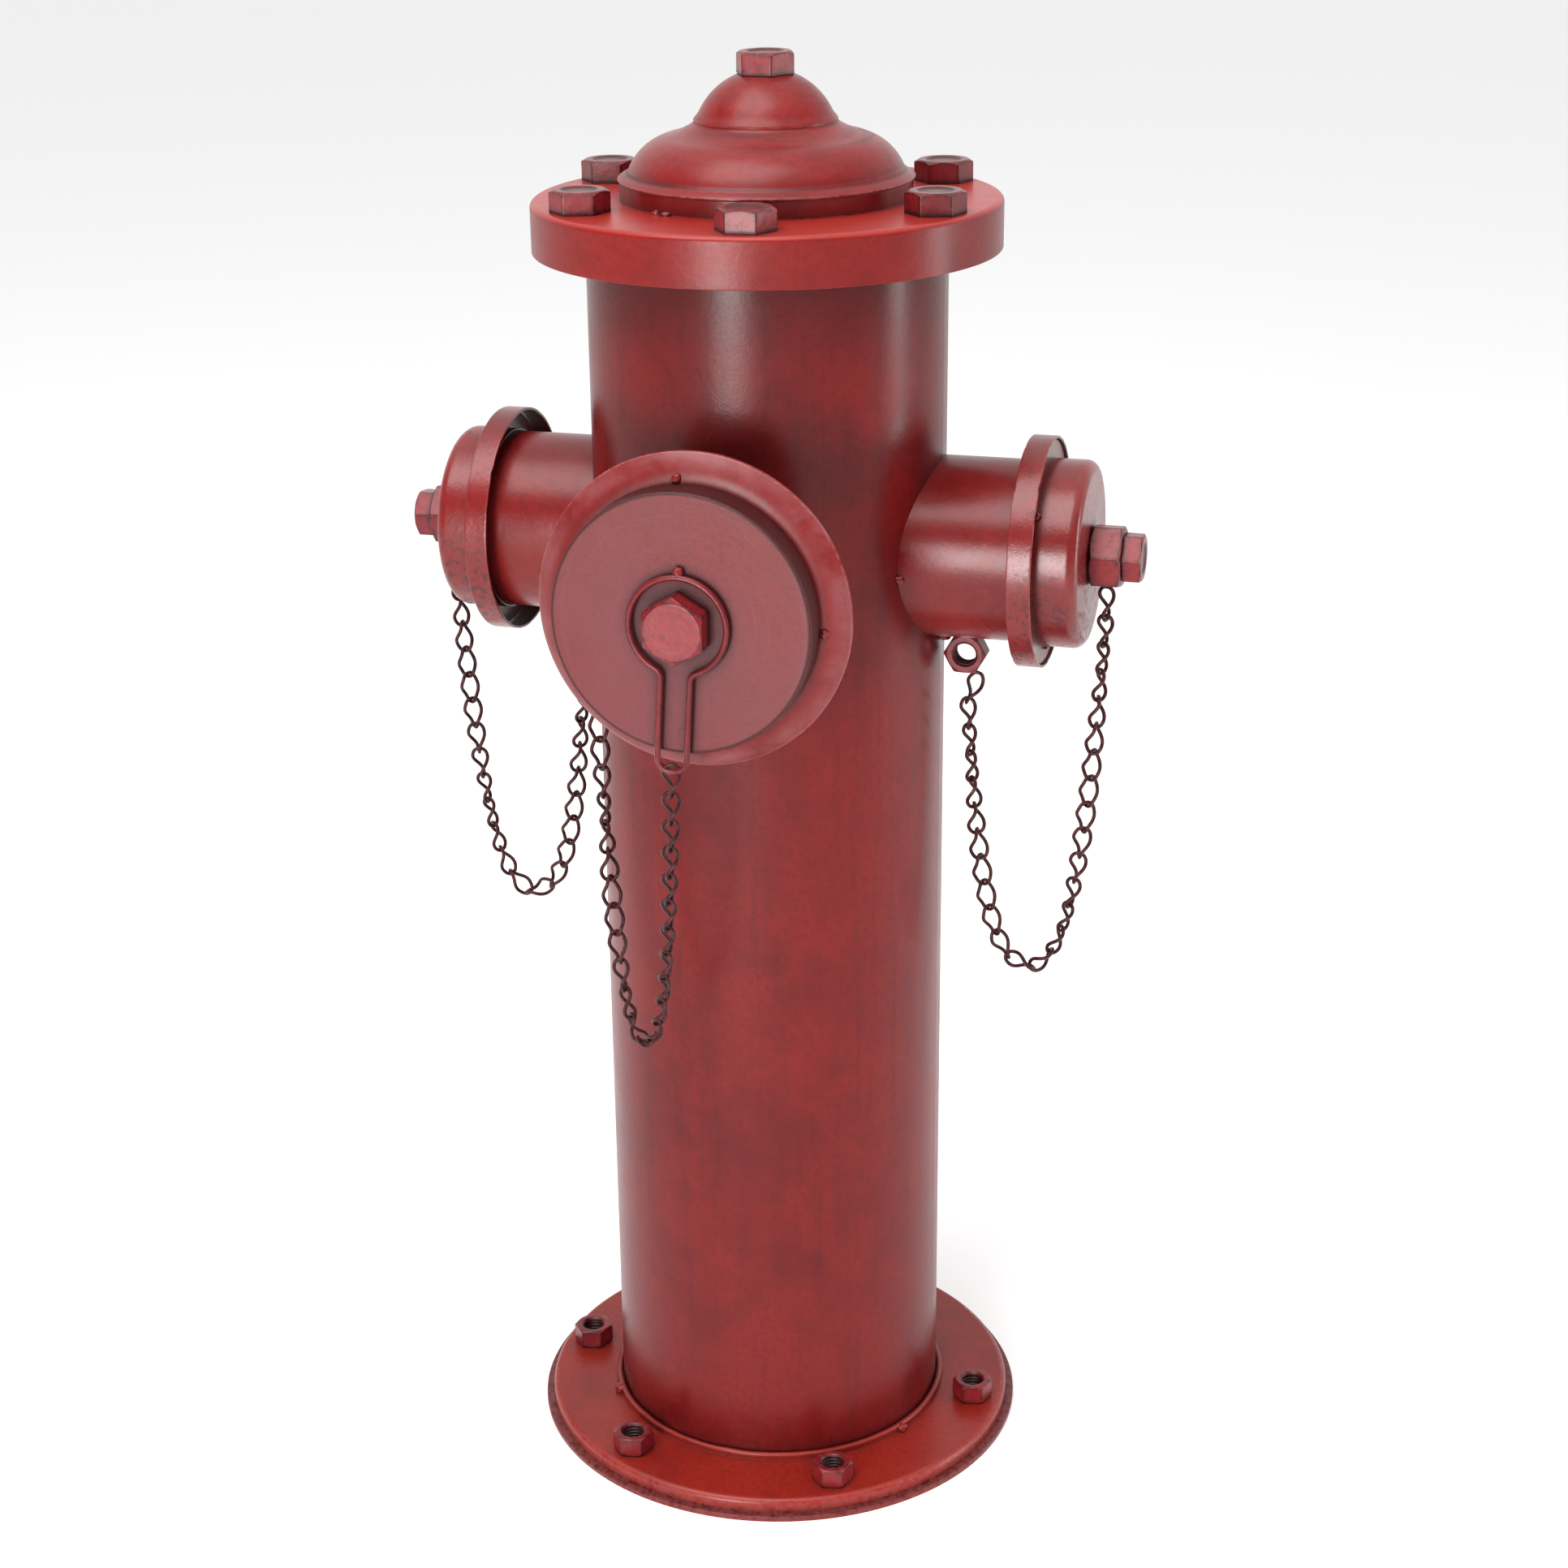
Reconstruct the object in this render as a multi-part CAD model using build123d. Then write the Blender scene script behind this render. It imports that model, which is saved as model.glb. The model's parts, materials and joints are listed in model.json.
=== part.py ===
from build123d import *
import math
import os

# Decorative fire hydrant welded up from sheet steel, with real hexagon fasteners.
# Millimetres. +Z is up, the large nozzle faces -Y and the two small nozzles face +X and -X.
# The origin is the centre of the base's underside.

# Base
BASE_PLATE_RADIUS = 123.4
BASE_PLATE_THICKNESS = 2.5
BASE_FLANGE_RADIUS = 119.5
BASE_FLANGE_TOP = 9.5
BASE_FLANGE_EDGE_RADIUS = 3.0
BASE_BOLT_CIRCLE_RADIUS = 104.0
BASE_BOLT_COUNT = 6
BASE_HOLE_RADIUS = 6.5
BASE_NUT_TURN = 12.0
FOOT_RING_GAP = 0.4
FOOT_RING_WIDTH = 3.0
FOOT_RING_HEIGHT = 4.0

# Barrel and top flange
SHEET = 1.5
BARREL_RADIUS = 82.5
FLANGE_RADIUS = 107.0
FLANGE_BOTTOM = 602.5
FLANGE_TOP = 625.0
FLANGE_EDGE_RADIUS = 2.5
FLANGE_BOLT_CIRCLE_RADIUS = 90.0
FLANGE_BOLT_COUNT = 6
FLANGE_BOLT_START_ANGLE = -80.0
FLANGE_BOLT_SHANK = 1.5
FLANGE_BOLT_TURNS = (25.0, 33.0, 33.0, 30.0, 30.0, 36.0)

# Bonnet
SEAT_RADIUS = 66.3
SEAT_HEIGHT = 8.0
BRIM_RADIUS = 67.2
BRIM_TIP_HEIGHT = 1.2
CROWN_HEIGHT = 678.6
CROWN_FLAT_RADIUS = 13.0
TOP_BOLT_SHANK = 32.0
TOP_BOLT_TURN = -4.0

# Bonnet's section: radius and height of its turning points, from the brim up
BONNET_SHOULDER = (62.6, 637.0)
BONNET_BULGE = (57.6, 645.0)
BONNET_SLOPE = (46.6, 652.0)
BONNET_HOLLOW = (37.5, 654.6)
BONNET_WAIST = (33.6, 657.2)
BONNET_GROOVE = (32.6, 658.6)
BONNET_BEAD = (32.6, 660.0)
BONNET_FLARE = (29.9, 663.0)
BONNET_UPPER = (25.9, 669.2)

# Nozzles, measured from the barrel's axis
NOZZLE_HEIGHT = 467.0
SIDE_PIPE_RADIUS = 41.9
SIDE_PIPE_END = 146.5
BAND_RADIUS = 53.3
BAND_START = 122.5
BAND_END = 134.0
CAP_SHEET = 1.2
DISC_SLIT = 0.5
DISC_RECESS = 1.4
DRUM_RADIUS = 43.3
DRUM_END = 152.5
DRUM_EDGE_RADIUS = 5.0
DRUM_TUCK = 4.0
CAP_NUT_TILT = 11.0
CAP_BOLT_TILT = 6.5

FRONT_PIPE_RADIUS = 50.8
FRONT_PIPE_END = 140.0
DISH_RADIUS = 70.8
DISH_FACE = 130.0
DISH_SHOULDER = 124.5
DISH_LIP = 122.0
DISH_DRUM_GAP = 0.6
DISH_SWELL = (65.9, 128.0)
DISH_INNER_SWELL = (65.3, 126.9)
FRONT_DRUM_RADIUS = 58.2
FRONT_DRUM_END = 145.0
FRONT_DRUM_EDGE_RADIUS = 1.0

# Crossbars inside the nozzles, which the cap bolts screw to
CROSSBAR_WIDTH = 22.0
CROSSBAR_THICKNESS = 4.0
SIDE_CROSSBAR_FACE = 122.0
FRONT_CROSSBAR_FACE = 120.0
RUNNING_GAP = 0.05
HOLE_GAP = 0.3

# Hexagon fasteners: width across flats, height, thread or bore radius
M12_FLATS = 18.0
M12_NUT_HEIGHT = 10.0
M12_BORE_RADIUS = 5.2
M14_FLATS = 21.0
M14_HEAD_HEIGHT = 8.8
M14_NUT_HEIGHT = 12.8
M14_RADIUS = 7.0
M16_FLATS = 24.0
M16_HEAD_HEIGHT = 10.0
M16_NUT_HEIGHT = 13.0
M16_RADIUS = 8.0
M18_FLATS = 27.0
M18_HEAD_HEIGHT = 11.5
M18_NUT_HEIGHT = 15.0
M18_RADIUS = 9.0
M18_BORE_RADIUS = 7.65
HEAD_GAP = 0.2
SIDE_BOLT_SHANK = 68.0
FRONT_BOLT_SHANK = 46.0

# Keyhole-shaped wire clip on the front cap
CLIP_WIRE_RADIUS = 1.4
CLIP_STANDOFF = 3.0
CLIP_RING_RADIUS = 21.8
CLIP_LEG_OFFSET = 6.65
CLIP_NECK_RADIUS = 4.0
CLIP_LEG_END = 59.5
CLIP_TILT = 3.5

# Chains: pitch of the links, wire and clearances
LINK_PITCH = 13.3
LINK_WIDTH = 10.2
LINK_WIRE_RADIUS = 0.8
LINK_CLEARANCE = 0.5
RIGHT_CHAIN_LINKS = 25
LEFT_CHAIN_LINKS = 23
FRONT_CHAIN_LINKS = 24
WELD_GAP = 0.1

# Small nuts that hold the chains' other ends
SIDE_ANCHOR_REACH = 95.0
FRONT_ANCHOR_REACH = 95.0
FRONT_ANCHOR_ANGLE = 217.7

# Hexagon fasteners, as shares of the width across flats or of the bore
HEXAGON_FACE_SHARE = 0.475
DISH_RADIUS_SHARE = 0.36
DISH_DEPTH_SHARE = 0.07
MOUTH_SHARE = 0.12

LINK_REACH = LINK_WIRE_RADIUS + LINK_CLEARANCE
LINK_BEND_RADIUS = LINK_WIDTH / 2 - LINK_WIRE_RADIUS
LINK_LINE_LENGTH = LINK_PITCH + 2 * LINK_REACH
SEAT_TOP = FLANGE_TOP + SEAT_HEIGHT
CAP_NUT_END = DRUM_END + M18_NUT_HEIGHT

# Local +Z of a nozzle part points out of the nozzle
FRONT_NOZZLE = Location((0, 0, NOZZLE_HEIGHT), (90, 0, 0))
RIGHT_NOZZLE = Location((0, 0, NOZZLE_HEIGHT), (0, 90, 0))


def cylinder(radius, start, end):
    """Solid cylinder on Z between two heights."""
    return extrude(Plane.XY.offset(start) * Circle(radius), end - start)


def tube(outer, inner, start, end):
    """Straight tube on Z between two heights."""
    section = Circle(outer) - Circle(inner)
    return extrude(Plane.XY.offset(start) * section, end - start)


def turned(points):
    """Solid of revolution about Z from a closed outline of radius and height."""
    return revolve(Plane.XZ * make_face(Polyline(*points, close=True)), Axis.Z)


def hexagon_prism(flats, start, height, both_ends):
    """Hexagon on Z whose corners are cut back by the usual 30 degree cone."""
    corner_radius = flats / math.sqrt(3)
    face_radius = HEXAGON_FACE_SHARE * flats
    cone_depth = (corner_radius - face_radius) * math.tan(math.radians(30))
    prism = extrude(Plane.XY.offset(start) * RegularPolygon(corner_radius, 6), height)
    lower_edge = [(face_radius, start), (corner_radius, start + cone_depth)]
    if not both_ends:
        lower_edge = [(corner_radius, start)]
    upper_edge = [
        (corner_radius, start + height - cone_depth),
        (face_radius, start + height),
        (0, start + height),
    ]
    return prism & turned([(0, start)] + lower_edge + upper_edge)


def hexagon_nut(flats, bore_radius, start, height):
    """Hexagon nut with countersunk bore mouths."""
    mouth = bore_radius * MOUTH_SHARE
    bore = turned([
        (0, start - 1),
        (bore_radius + mouth + 1, start - 1),
        (bore_radius, start + mouth),
        (bore_radius, start + height - mouth),
        (bore_radius + mouth + 1, start + height + 1),
        (0, start + height + 1),
    ])
    return hexagon_prism(flats, start, height, True) - bore


def hexagon_bolt(flats, head_height, shank_radius, seat, shank_length):
    """Bolt whose head stands on a face at height seat, with a dished head and a plain shank."""
    head = hexagon_prism(flats, seat, head_height, False)
    dish_radius = DISH_RADIUS_SHARE * flats
    dish_depth = DISH_DEPTH_SHARE * head_height
    dish = turned([
        (0, seat + head_height - dish_depth),
        (dish_radius - dish_depth, seat + head_height - dish_depth),
        (dish_radius, seat + head_height + 0.01),
        (0, seat + head_height + 0.01),
    ])
    tip = shank_radius * MOUTH_SHARE
    shank = turned([
        (0, seat - shank_length),
        (shank_radius - tip, seat - shank_length),
        (shank_radius, seat - shank_length + tip),
        (shank_radius, seat + 0.5),
        (0, seat + 0.5),
    ])
    return head - dish + shank


def base_hole_places():
    """Places of the six base holes and of the nuts above them."""
    return PolarLocations(BASE_BOLT_CIRCLE_RADIUS, BASE_BOLT_COUNT)


def base_plate():
    """Flat bottom disc."""
    disc = cylinder(BASE_PLATE_RADIUS, 0, BASE_PLATE_THICKNESS)
    rim = disc.edges().group_by(Axis.Z)[-1]
    disc = chamfer(rim, 0.5)
    return disc - base_hole_places() * cylinder(BASE_HOLE_RADIUS, -1, BASE_FLANGE_TOP)


def base_flange():
    """Pressed pan with a rounded edge, laid on the bottom disc."""
    pan = cylinder(BASE_FLANGE_RADIUS, BASE_PLATE_THICKNESS, BASE_FLANGE_TOP)
    pan = fillet(pan.edges().group_by(Axis.Z)[-1], BASE_FLANGE_EDGE_RADIUS)
    hollow = cylinder(BASE_FLANGE_RADIUS - SHEET, BASE_PLATE_THICKNESS - 1, BASE_FLANGE_TOP - SHEET)
    hollow = fillet(hollow.edges().group_by(Axis.Z)[-1], BASE_FLANGE_EDGE_RADIUS - SHEET)
    return pan - hollow - base_hole_places() * cylinder(BASE_HOLE_RADIUS, 0, BASE_FLANGE_TOP + 1)


def foot_ring():
    """Rounded ring around the barrel's foot."""
    inner = BARREL_RADIUS + FOOT_RING_GAP
    ring = tube(inner + FOOT_RING_WIDTH, inner, BASE_FLANGE_TOP, BASE_FLANGE_TOP + FOOT_RING_HEIGHT)
    return fillet(ring.edges().group_by(Axis.Z)[-1], FOOT_RING_WIDTH * 0.45)


def base_nuts():
    """Six open nuts on the base, one over each hole."""
    nut = hexagon_nut(M12_FLATS, M12_BORE_RADIUS, BASE_FLANGE_TOP, M12_NUT_HEIGHT)
    return [place * (Rot(0, 0, BASE_NUT_TURN) * nut) for place in base_hole_places()]


def barrel():
    """Straight sheet tube from the base flange to the top flange."""
    return tube(BARREL_RADIUS, BARREL_RADIUS - SHEET, BASE_FLANGE_TOP, FLANGE_TOP - SHEET)


def flange_bolt_places():
    """Places of the six bolts on the top flange."""
    return PolarLocations(FLANGE_BOLT_CIRCLE_RADIUS, FLANGE_BOLT_COUNT, FLANGE_BOLT_START_ANGLE)


def flange_pan():
    """Spun pan that forms the top flange's face and its deep band."""
    pan = cylinder(FLANGE_RADIUS, FLANGE_BOTTOM, FLANGE_TOP)
    pan = fillet(pan.edges().group_by(Axis.Z)[-1], FLANGE_EDGE_RADIUS)
    hollow = cylinder(FLANGE_RADIUS - SHEET, FLANGE_BOTTOM - 1, FLANGE_TOP - SHEET)
    hollow = fillet(hollow.edges().group_by(Axis.Z)[-1], FLANGE_EDGE_RADIUS - SHEET)
    holes = flange_bolt_places() * cylinder(M16_RADIUS + RUNNING_GAP, FLANGE_TOP - 5, FLANGE_TOP + 1)
    shaft_hole = cylinder(M16_RADIUS * 2.5, FLANGE_TOP - 5, FLANGE_TOP + 1)
    return pan - hollow - holes - shaft_hole


def flange_underplate():
    """Ring that closes the top flange from below."""
    inner = BARREL_RADIUS + RUNNING_GAP
    outer = FLANGE_RADIUS - SHEET - RUNNING_GAP
    return tube(outer, inner, FLANGE_BOTTOM, FLANGE_BOTTOM + SHEET)


def flange_bolts():
    """Six bolts through the top flange's face, each turned a little differently."""
    bolt = hexagon_bolt(M16_FLATS, M16_HEAD_HEIGHT, M16_RADIUS, FLANGE_TOP, FLANGE_BOLT_SHANK)
    places = flange_bolt_places()
    return [place * (Rot(0, 0, turn) * bolt) for place, turn in zip(places, FLANGE_BOLT_TURNS)]


def bonnet_seat():
    """Short ring that lifts the bonnet off the flange."""
    return tube(SEAT_RADIUS, SEAT_RADIUS - SHEET, FLANGE_TOP, SEAT_TOP)


def stepped_in(point, inset, inward, downward):
    """Point of the bonnet's section, moved by shares of inset towards the axis and down."""
    return (point[0] - inset * inward, point[1] - inset * downward)


def bonnet_outline(inset):
    """Half section of the bonnet, drawn smaller by inset, from the brim to the crown."""
    brim = (BRIM_RADIUS - inset, SEAT_TOP)
    tip = (BRIM_RADIUS - inset, SEAT_TOP + BRIM_TIP_HEIGHT)
    shoulder = stepped_in(BONNET_SHOULDER, inset, 1.0, 0.3)
    bulge = stepped_in(BONNET_BULGE, inset, 0.8, 0.6)
    slope = stepped_in(BONNET_SLOPE, inset, 0.5, 0.9)
    hollow = stepped_in(BONNET_HOLLOW, inset, 0.7, 0.8)
    waist = stepped_in(BONNET_WAIST, inset, 1.0, 0.2)
    groove = stepped_in(BONNET_GROOVE, inset, 1.0, 0.1)
    bead = stepped_in(BONNET_BEAD, inset, 1.0, 0.0)
    flare = stepped_in(BONNET_FLARE, inset, 0.9, 0.2)
    upper = stepped_in(BONNET_UPPER, inset, 0.8, 0.5)
    crown = (CROWN_FLAT_RADIUS, CROWN_HEIGHT - inset)
    axis_top = (0, CROWN_HEIGHT - inset)
    axis_foot = (0, SEAT_TOP)
    return [
        Line(axis_foot, brim),
        Line(brim, tip),
        Line(tip, shoulder),
        ThreePointArc(shoulder, bulge, slope),
        ThreePointArc(slope, hollow, waist),
        Line(waist, groove),
        Line(groove, bead),
        Line(bead, flare),
        ThreePointArc(flare, upper, crown),
        Line(crown, axis_top),
        Line(axis_top, axis_foot),
    ]


def bonnet():
    """Spun bell-shaped bonnet with a stepped upper dome and a hole for the top bolt."""
    outside = revolve(Plane.XZ * make_face(bonnet_outline(0)), Axis.Z)
    inside = revolve(Plane.XZ * make_face(bonnet_outline(SHEET)), Axis.Z)
    hole = cylinder(M16_RADIUS + RUNNING_GAP, SEAT_TOP, CROWN_HEIGHT + 1)
    return outside - inside - hole


def top_bolt():
    """Bolt in the crown of the bonnet."""
    seat = CROWN_HEIGHT + HEAD_GAP
    bolt = hexagon_bolt(M16_FLATS, M16_HEAD_HEIGHT, M16_RADIUS, seat, TOP_BOLT_SHANK)
    return Rot(0, 0, TOP_BOLT_TURN) * bolt


def top_bolt_nut():
    """Nut under the bonnet's crown."""
    start = CROWN_HEIGHT - SHEET - M16_NUT_HEIGHT
    return hexagon_nut(M16_FLATS, M16_RADIUS + RUNNING_GAP, start, M16_NUT_HEIGHT)


def nozzle_pipe(radius, end, place):
    """Nozzle tube, cut to sit on the barrel."""
    pipe = place * tube(radius, radius - SHEET, 0, end)
    return pipe - cylinder(BARREL_RADIUS, NOZZLE_HEIGHT - 2 * radius, NOZZLE_HEIGHT + 2 * radius)


def crossbar(pipe_radius, face, bolt_radius):
    """Flat bar across the inside of a nozzle, with the bolt's hole."""
    length = 2 * pipe_radius
    middle = face - CROSSBAR_THICKNESS / 2
    bar = Pos(0, 0, middle) * Box(CROSSBAR_WIDTH, length, CROSSBAR_THICKNESS)
    bore = cylinder(pipe_radius - SHEET - RUNNING_GAP, face - CROSSBAR_THICKNESS, face)
    hole = cylinder(bolt_radius + HOLE_GAP, face - length, face + 1)
    return bar & bore - hole


def crossbar_nut(flats, bolt_radius, height, face):
    """Nut on the inner side of a crossbar."""
    start = face - CROSSBAR_THICKNESS - height
    return hexagon_nut(flats, bolt_radius + RUNNING_GAP, start, height)


def cap_band():
    """Outer band of a side cap, open towards the barrel."""
    return tube(BAND_RADIUS, BAND_RADIUS - CAP_SHEET, BAND_START, BAND_END)


def cap_disc():
    """Flat ring between a side cap's band and its drum, with a slit at the band."""
    face = BAND_END - DISC_RECESS
    outer = BAND_RADIUS - CAP_SHEET - DISC_SLIT
    return tube(outer, DRUM_RADIUS, face - CAP_SHEET, face)


def cap_drum(radius, start, end, edge_radius, bolt_radius):
    """Closed cup of a cap, with the bolt's hole in its end."""
    cup = cylinder(radius, start, end)
    cup = fillet(cup.edges().group_by(Axis.Z)[-1], edge_radius)
    hollow = cylinder(radius - CAP_SHEET, start - 1, end - CAP_SHEET)
    inner_edge_radius = max(edge_radius - CAP_SHEET, 0.4)
    hollow = fillet(hollow.edges().group_by(Axis.Z)[-1], inner_edge_radius)
    return cup - hollow - cylinder(bolt_radius + HOLE_GAP, end - 5, end + 1)


def front_dish():
    """Dished ring behind the front cap, with a lip turned back towards the barrel."""
    inner = FRONT_PIPE_RADIUS + RUNNING_GAP
    corner = FRONT_DRUM_RADIUS + DISH_DRUM_GAP
    skin = CAP_SHEET
    inner_shoulder = (DISH_RADIUS - skin, DISH_SHOULDER - skin / 2)
    outline = [
        Line((inner, DISH_FACE), (corner, DISH_FACE)),
        ThreePointArc((corner, DISH_FACE), DISH_SWELL, (DISH_RADIUS, DISH_SHOULDER)),
        Line((DISH_RADIUS, DISH_SHOULDER), (DISH_RADIUS, DISH_LIP)),
        Line((DISH_RADIUS, DISH_LIP), (DISH_RADIUS - skin, DISH_LIP)),
        Line((DISH_RADIUS - skin, DISH_LIP), inner_shoulder),
        ThreePointArc(inner_shoulder, DISH_INNER_SWELL, (corner, DISH_FACE - skin)),
        Line((corner, DISH_FACE - skin), (inner, DISH_FACE - skin)),
        Line((inner, DISH_FACE - skin), (inner, DISH_FACE)),
    ]
    return revolve(Plane.XZ * make_face(outline), Axis.Z)


def front_clip():
    """Closed keyhole-shaped wire that stands off the front cap's face around the bolt."""
    neck_centre_x = CLIP_LEG_OFFSET + CLIP_NECK_RADIUS
    neck_centre_y = -math.sqrt((CLIP_RING_RADIUS + CLIP_NECK_RADIUS) ** 2 - neck_centre_x ** 2)
    share = CLIP_RING_RADIUS / (CLIP_RING_RADIUS + CLIP_NECK_RADIUS)
    ring_end = (neck_centre_x * share, neck_centre_y * share)
    neck_angle = (math.atan2(-neck_centre_y, -neck_centre_x) + math.pi) / 2
    neck_middle = (
        neck_centre_x + CLIP_NECK_RADIUS * math.cos(neck_angle),
        neck_centre_y + CLIP_NECK_RADIUS * math.sin(neck_angle),
    )
    leg_top = (CLIP_LEG_OFFSET, neck_centre_y)
    leg_foot = (CLIP_LEG_OFFSET, -CLIP_LEG_END)
    bend = CLIP_LEG_OFFSET * math.sin(math.pi / 4)
    foot_middle = (bend, -CLIP_LEG_END - bend)
    bottom = (0, -CLIP_LEG_END - CLIP_LEG_OFFSET)
    half = Wire([
        ThreePointArc((0, CLIP_RING_RADIUS), (CLIP_RING_RADIUS, 0), ring_end),
        ThreePointArc(ring_end, neck_middle, leg_top),
        Line(leg_top, leg_foot),
        ThreePointArc(leg_foot, foot_middle, bottom),
    ])
    section = Plane((0, CLIP_RING_RADIUS, 0), z_dir=(1, 0, 0)) * Circle(CLIP_WIRE_RADIUS)
    right_half = sweep(section, path=half)
    clip = right_half + mirror(right_half, about=Plane.YZ)
    return Pos(0, 0, FRONT_DRUM_END + CLIP_STANDOFF) * (Rot(0, 0, -CLIP_TILT) * clip)


def chain_link():
    """Flat oval link on local Z, middle at the origin, that lies in the local XZ plane."""
    half_straight = LINK_LINE_LENGTH / 2 - LINK_BEND_RADIUS
    bend = Torus(LINK_BEND_RADIUS, LINK_WIRE_RADIUS, major_angle=180, align=None)
    top = Pos(0, 0, half_straight) * (Rot(90, 0, 0) * bend)
    foot = Pos(0, 0, -half_straight) * (Rot(-90, 0, 0) * bend)
    side = cylinder(LINK_WIRE_RADIUS, -half_straight, half_straight)
    return top + foot + Pos(LINK_BEND_RADIUS, 0, 0) * side + Pos(-LINK_BEND_RADIUS, 0, 0) * side


def placed_link(link, first, second, flat_side):
    """Copy of a link between two joints of a chain, with its flat side facing flat_side."""
    along = (second - first).normalized()
    across = (flat_side - along * flat_side.dot(along)).normalized()
    plane = Plane(origin=(first + second) * 0.5, x_dir=across.cross(along), z_dir=along)
    return plane.location * link


def slopes(side_pull, lowest, count):
    """Slope of each equal link that hangs with a steady sideways pull."""
    return [(index + 0.5 - lowest) / side_pull for index in range(count)]


def lowest_place(side_pull, rise, count):
    """Where along a chain its lowest point lies, for a given rise between its ends."""
    low, high = -count, 2 * count
    for _ in range(60):
        middle = (low + high) / 2
        reached = sum(LINK_PITCH * s / math.hypot(1, s) for s in slopes(side_pull, middle, count))
        low, high = (middle, high) if reached > rise else (low, middle)
    return (low + high) / 2


def hanging_joints(start, end, count):
    """Joints of a chain of equal links that hangs at rest between two points."""
    span = math.hypot(end.X - start.X, end.Y - start.Y)
    rise = end.Z - start.Z
    low, high = 0.0001, 50.0
    for _ in range(60):
        pull = (low + high) / 2
        lowest = lowest_place(pull, rise, count)
        reached = sum(LINK_PITCH / math.hypot(1, s) for s in slopes(pull, lowest, count))
        low, high = (pull, high) if reached < span else (low, pull)
    forward = Vector(end.X - start.X, end.Y - start.Y, 0).normalized()
    joints = [start]
    for slope in slopes(pull, lowest, count):
        level = LINK_PITCH / math.hypot(1, slope)
        joints.append(joints[-1] + forward * level + Vector(0, 0, level * slope))
    return joints


def turned_side(along, sideways, turn):
    """Where a link's flat side faces: half way round from the chain's plane, by turns each way."""
    lean = along.cross(sideways)
    return sideways + lean if turn % 2 else sideways - lean


def chain(link, start, end, count, first_turn):
    """Separate links between two end joints, each one turned a quarter from the last."""
    joints = hanging_joints(start, end, count)
    sideways = Vector(start.Y - end.Y, end.X - start.X, 0).normalized()
    links = []
    for index in range(count):
        along = (joints[index + 1] - joints[index]).normalized()
        flat_side = turned_side(along, sideways, index + first_turn)
        links.append(placed_link(link, joints[index], joints[index + 1], flat_side))
    return links


def end_link(link, top_line, toward, sideways, turn):
    """Link welded at its top to a nut: the link and the chain's joint below it."""
    along = toward.normalized()
    first = top_line + along * LINK_REACH
    second = first + along * LINK_PITCH
    return placed_link(link, first, second, turned_side(along, sideways, turn)), second


def write(name, shape):
    """Write one node as a STEP file."""
    solids = shape if isinstance(shape, list) else [shape]
    solids = [solid for item in solids for solid in item.solids()]
    whole = solids[0] if len(solids) == 1 else Compound(children=solids)
    whole.label = name
    export_step(whole, os.path.join("parts", name + ".step"))


def mirrored(shape):
    """The same piece on the -X side."""
    if isinstance(shape, list):
        return [mirror(item, about=Plane.YZ) for item in shape]
    return mirror(shape, about=Plane.YZ)


def write_base_and_barrel():
    write("base_plate", base_plate())
    write("base_flange", base_flange())
    write("foot_ring", foot_ring())
    write("base_nuts", base_nuts())
    write("barrel", barrel())


def write_top():
    write("flange_pan", flange_pan())
    write("flange_underplate", flange_underplate())
    write("flange_bolts", flange_bolts())
    write("bonnet_seat", bonnet_seat())
    write("bonnet", bonnet())
    write("top_bolt", top_bolt())
    write("top_bolt_nut", top_bolt_nut())


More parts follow.
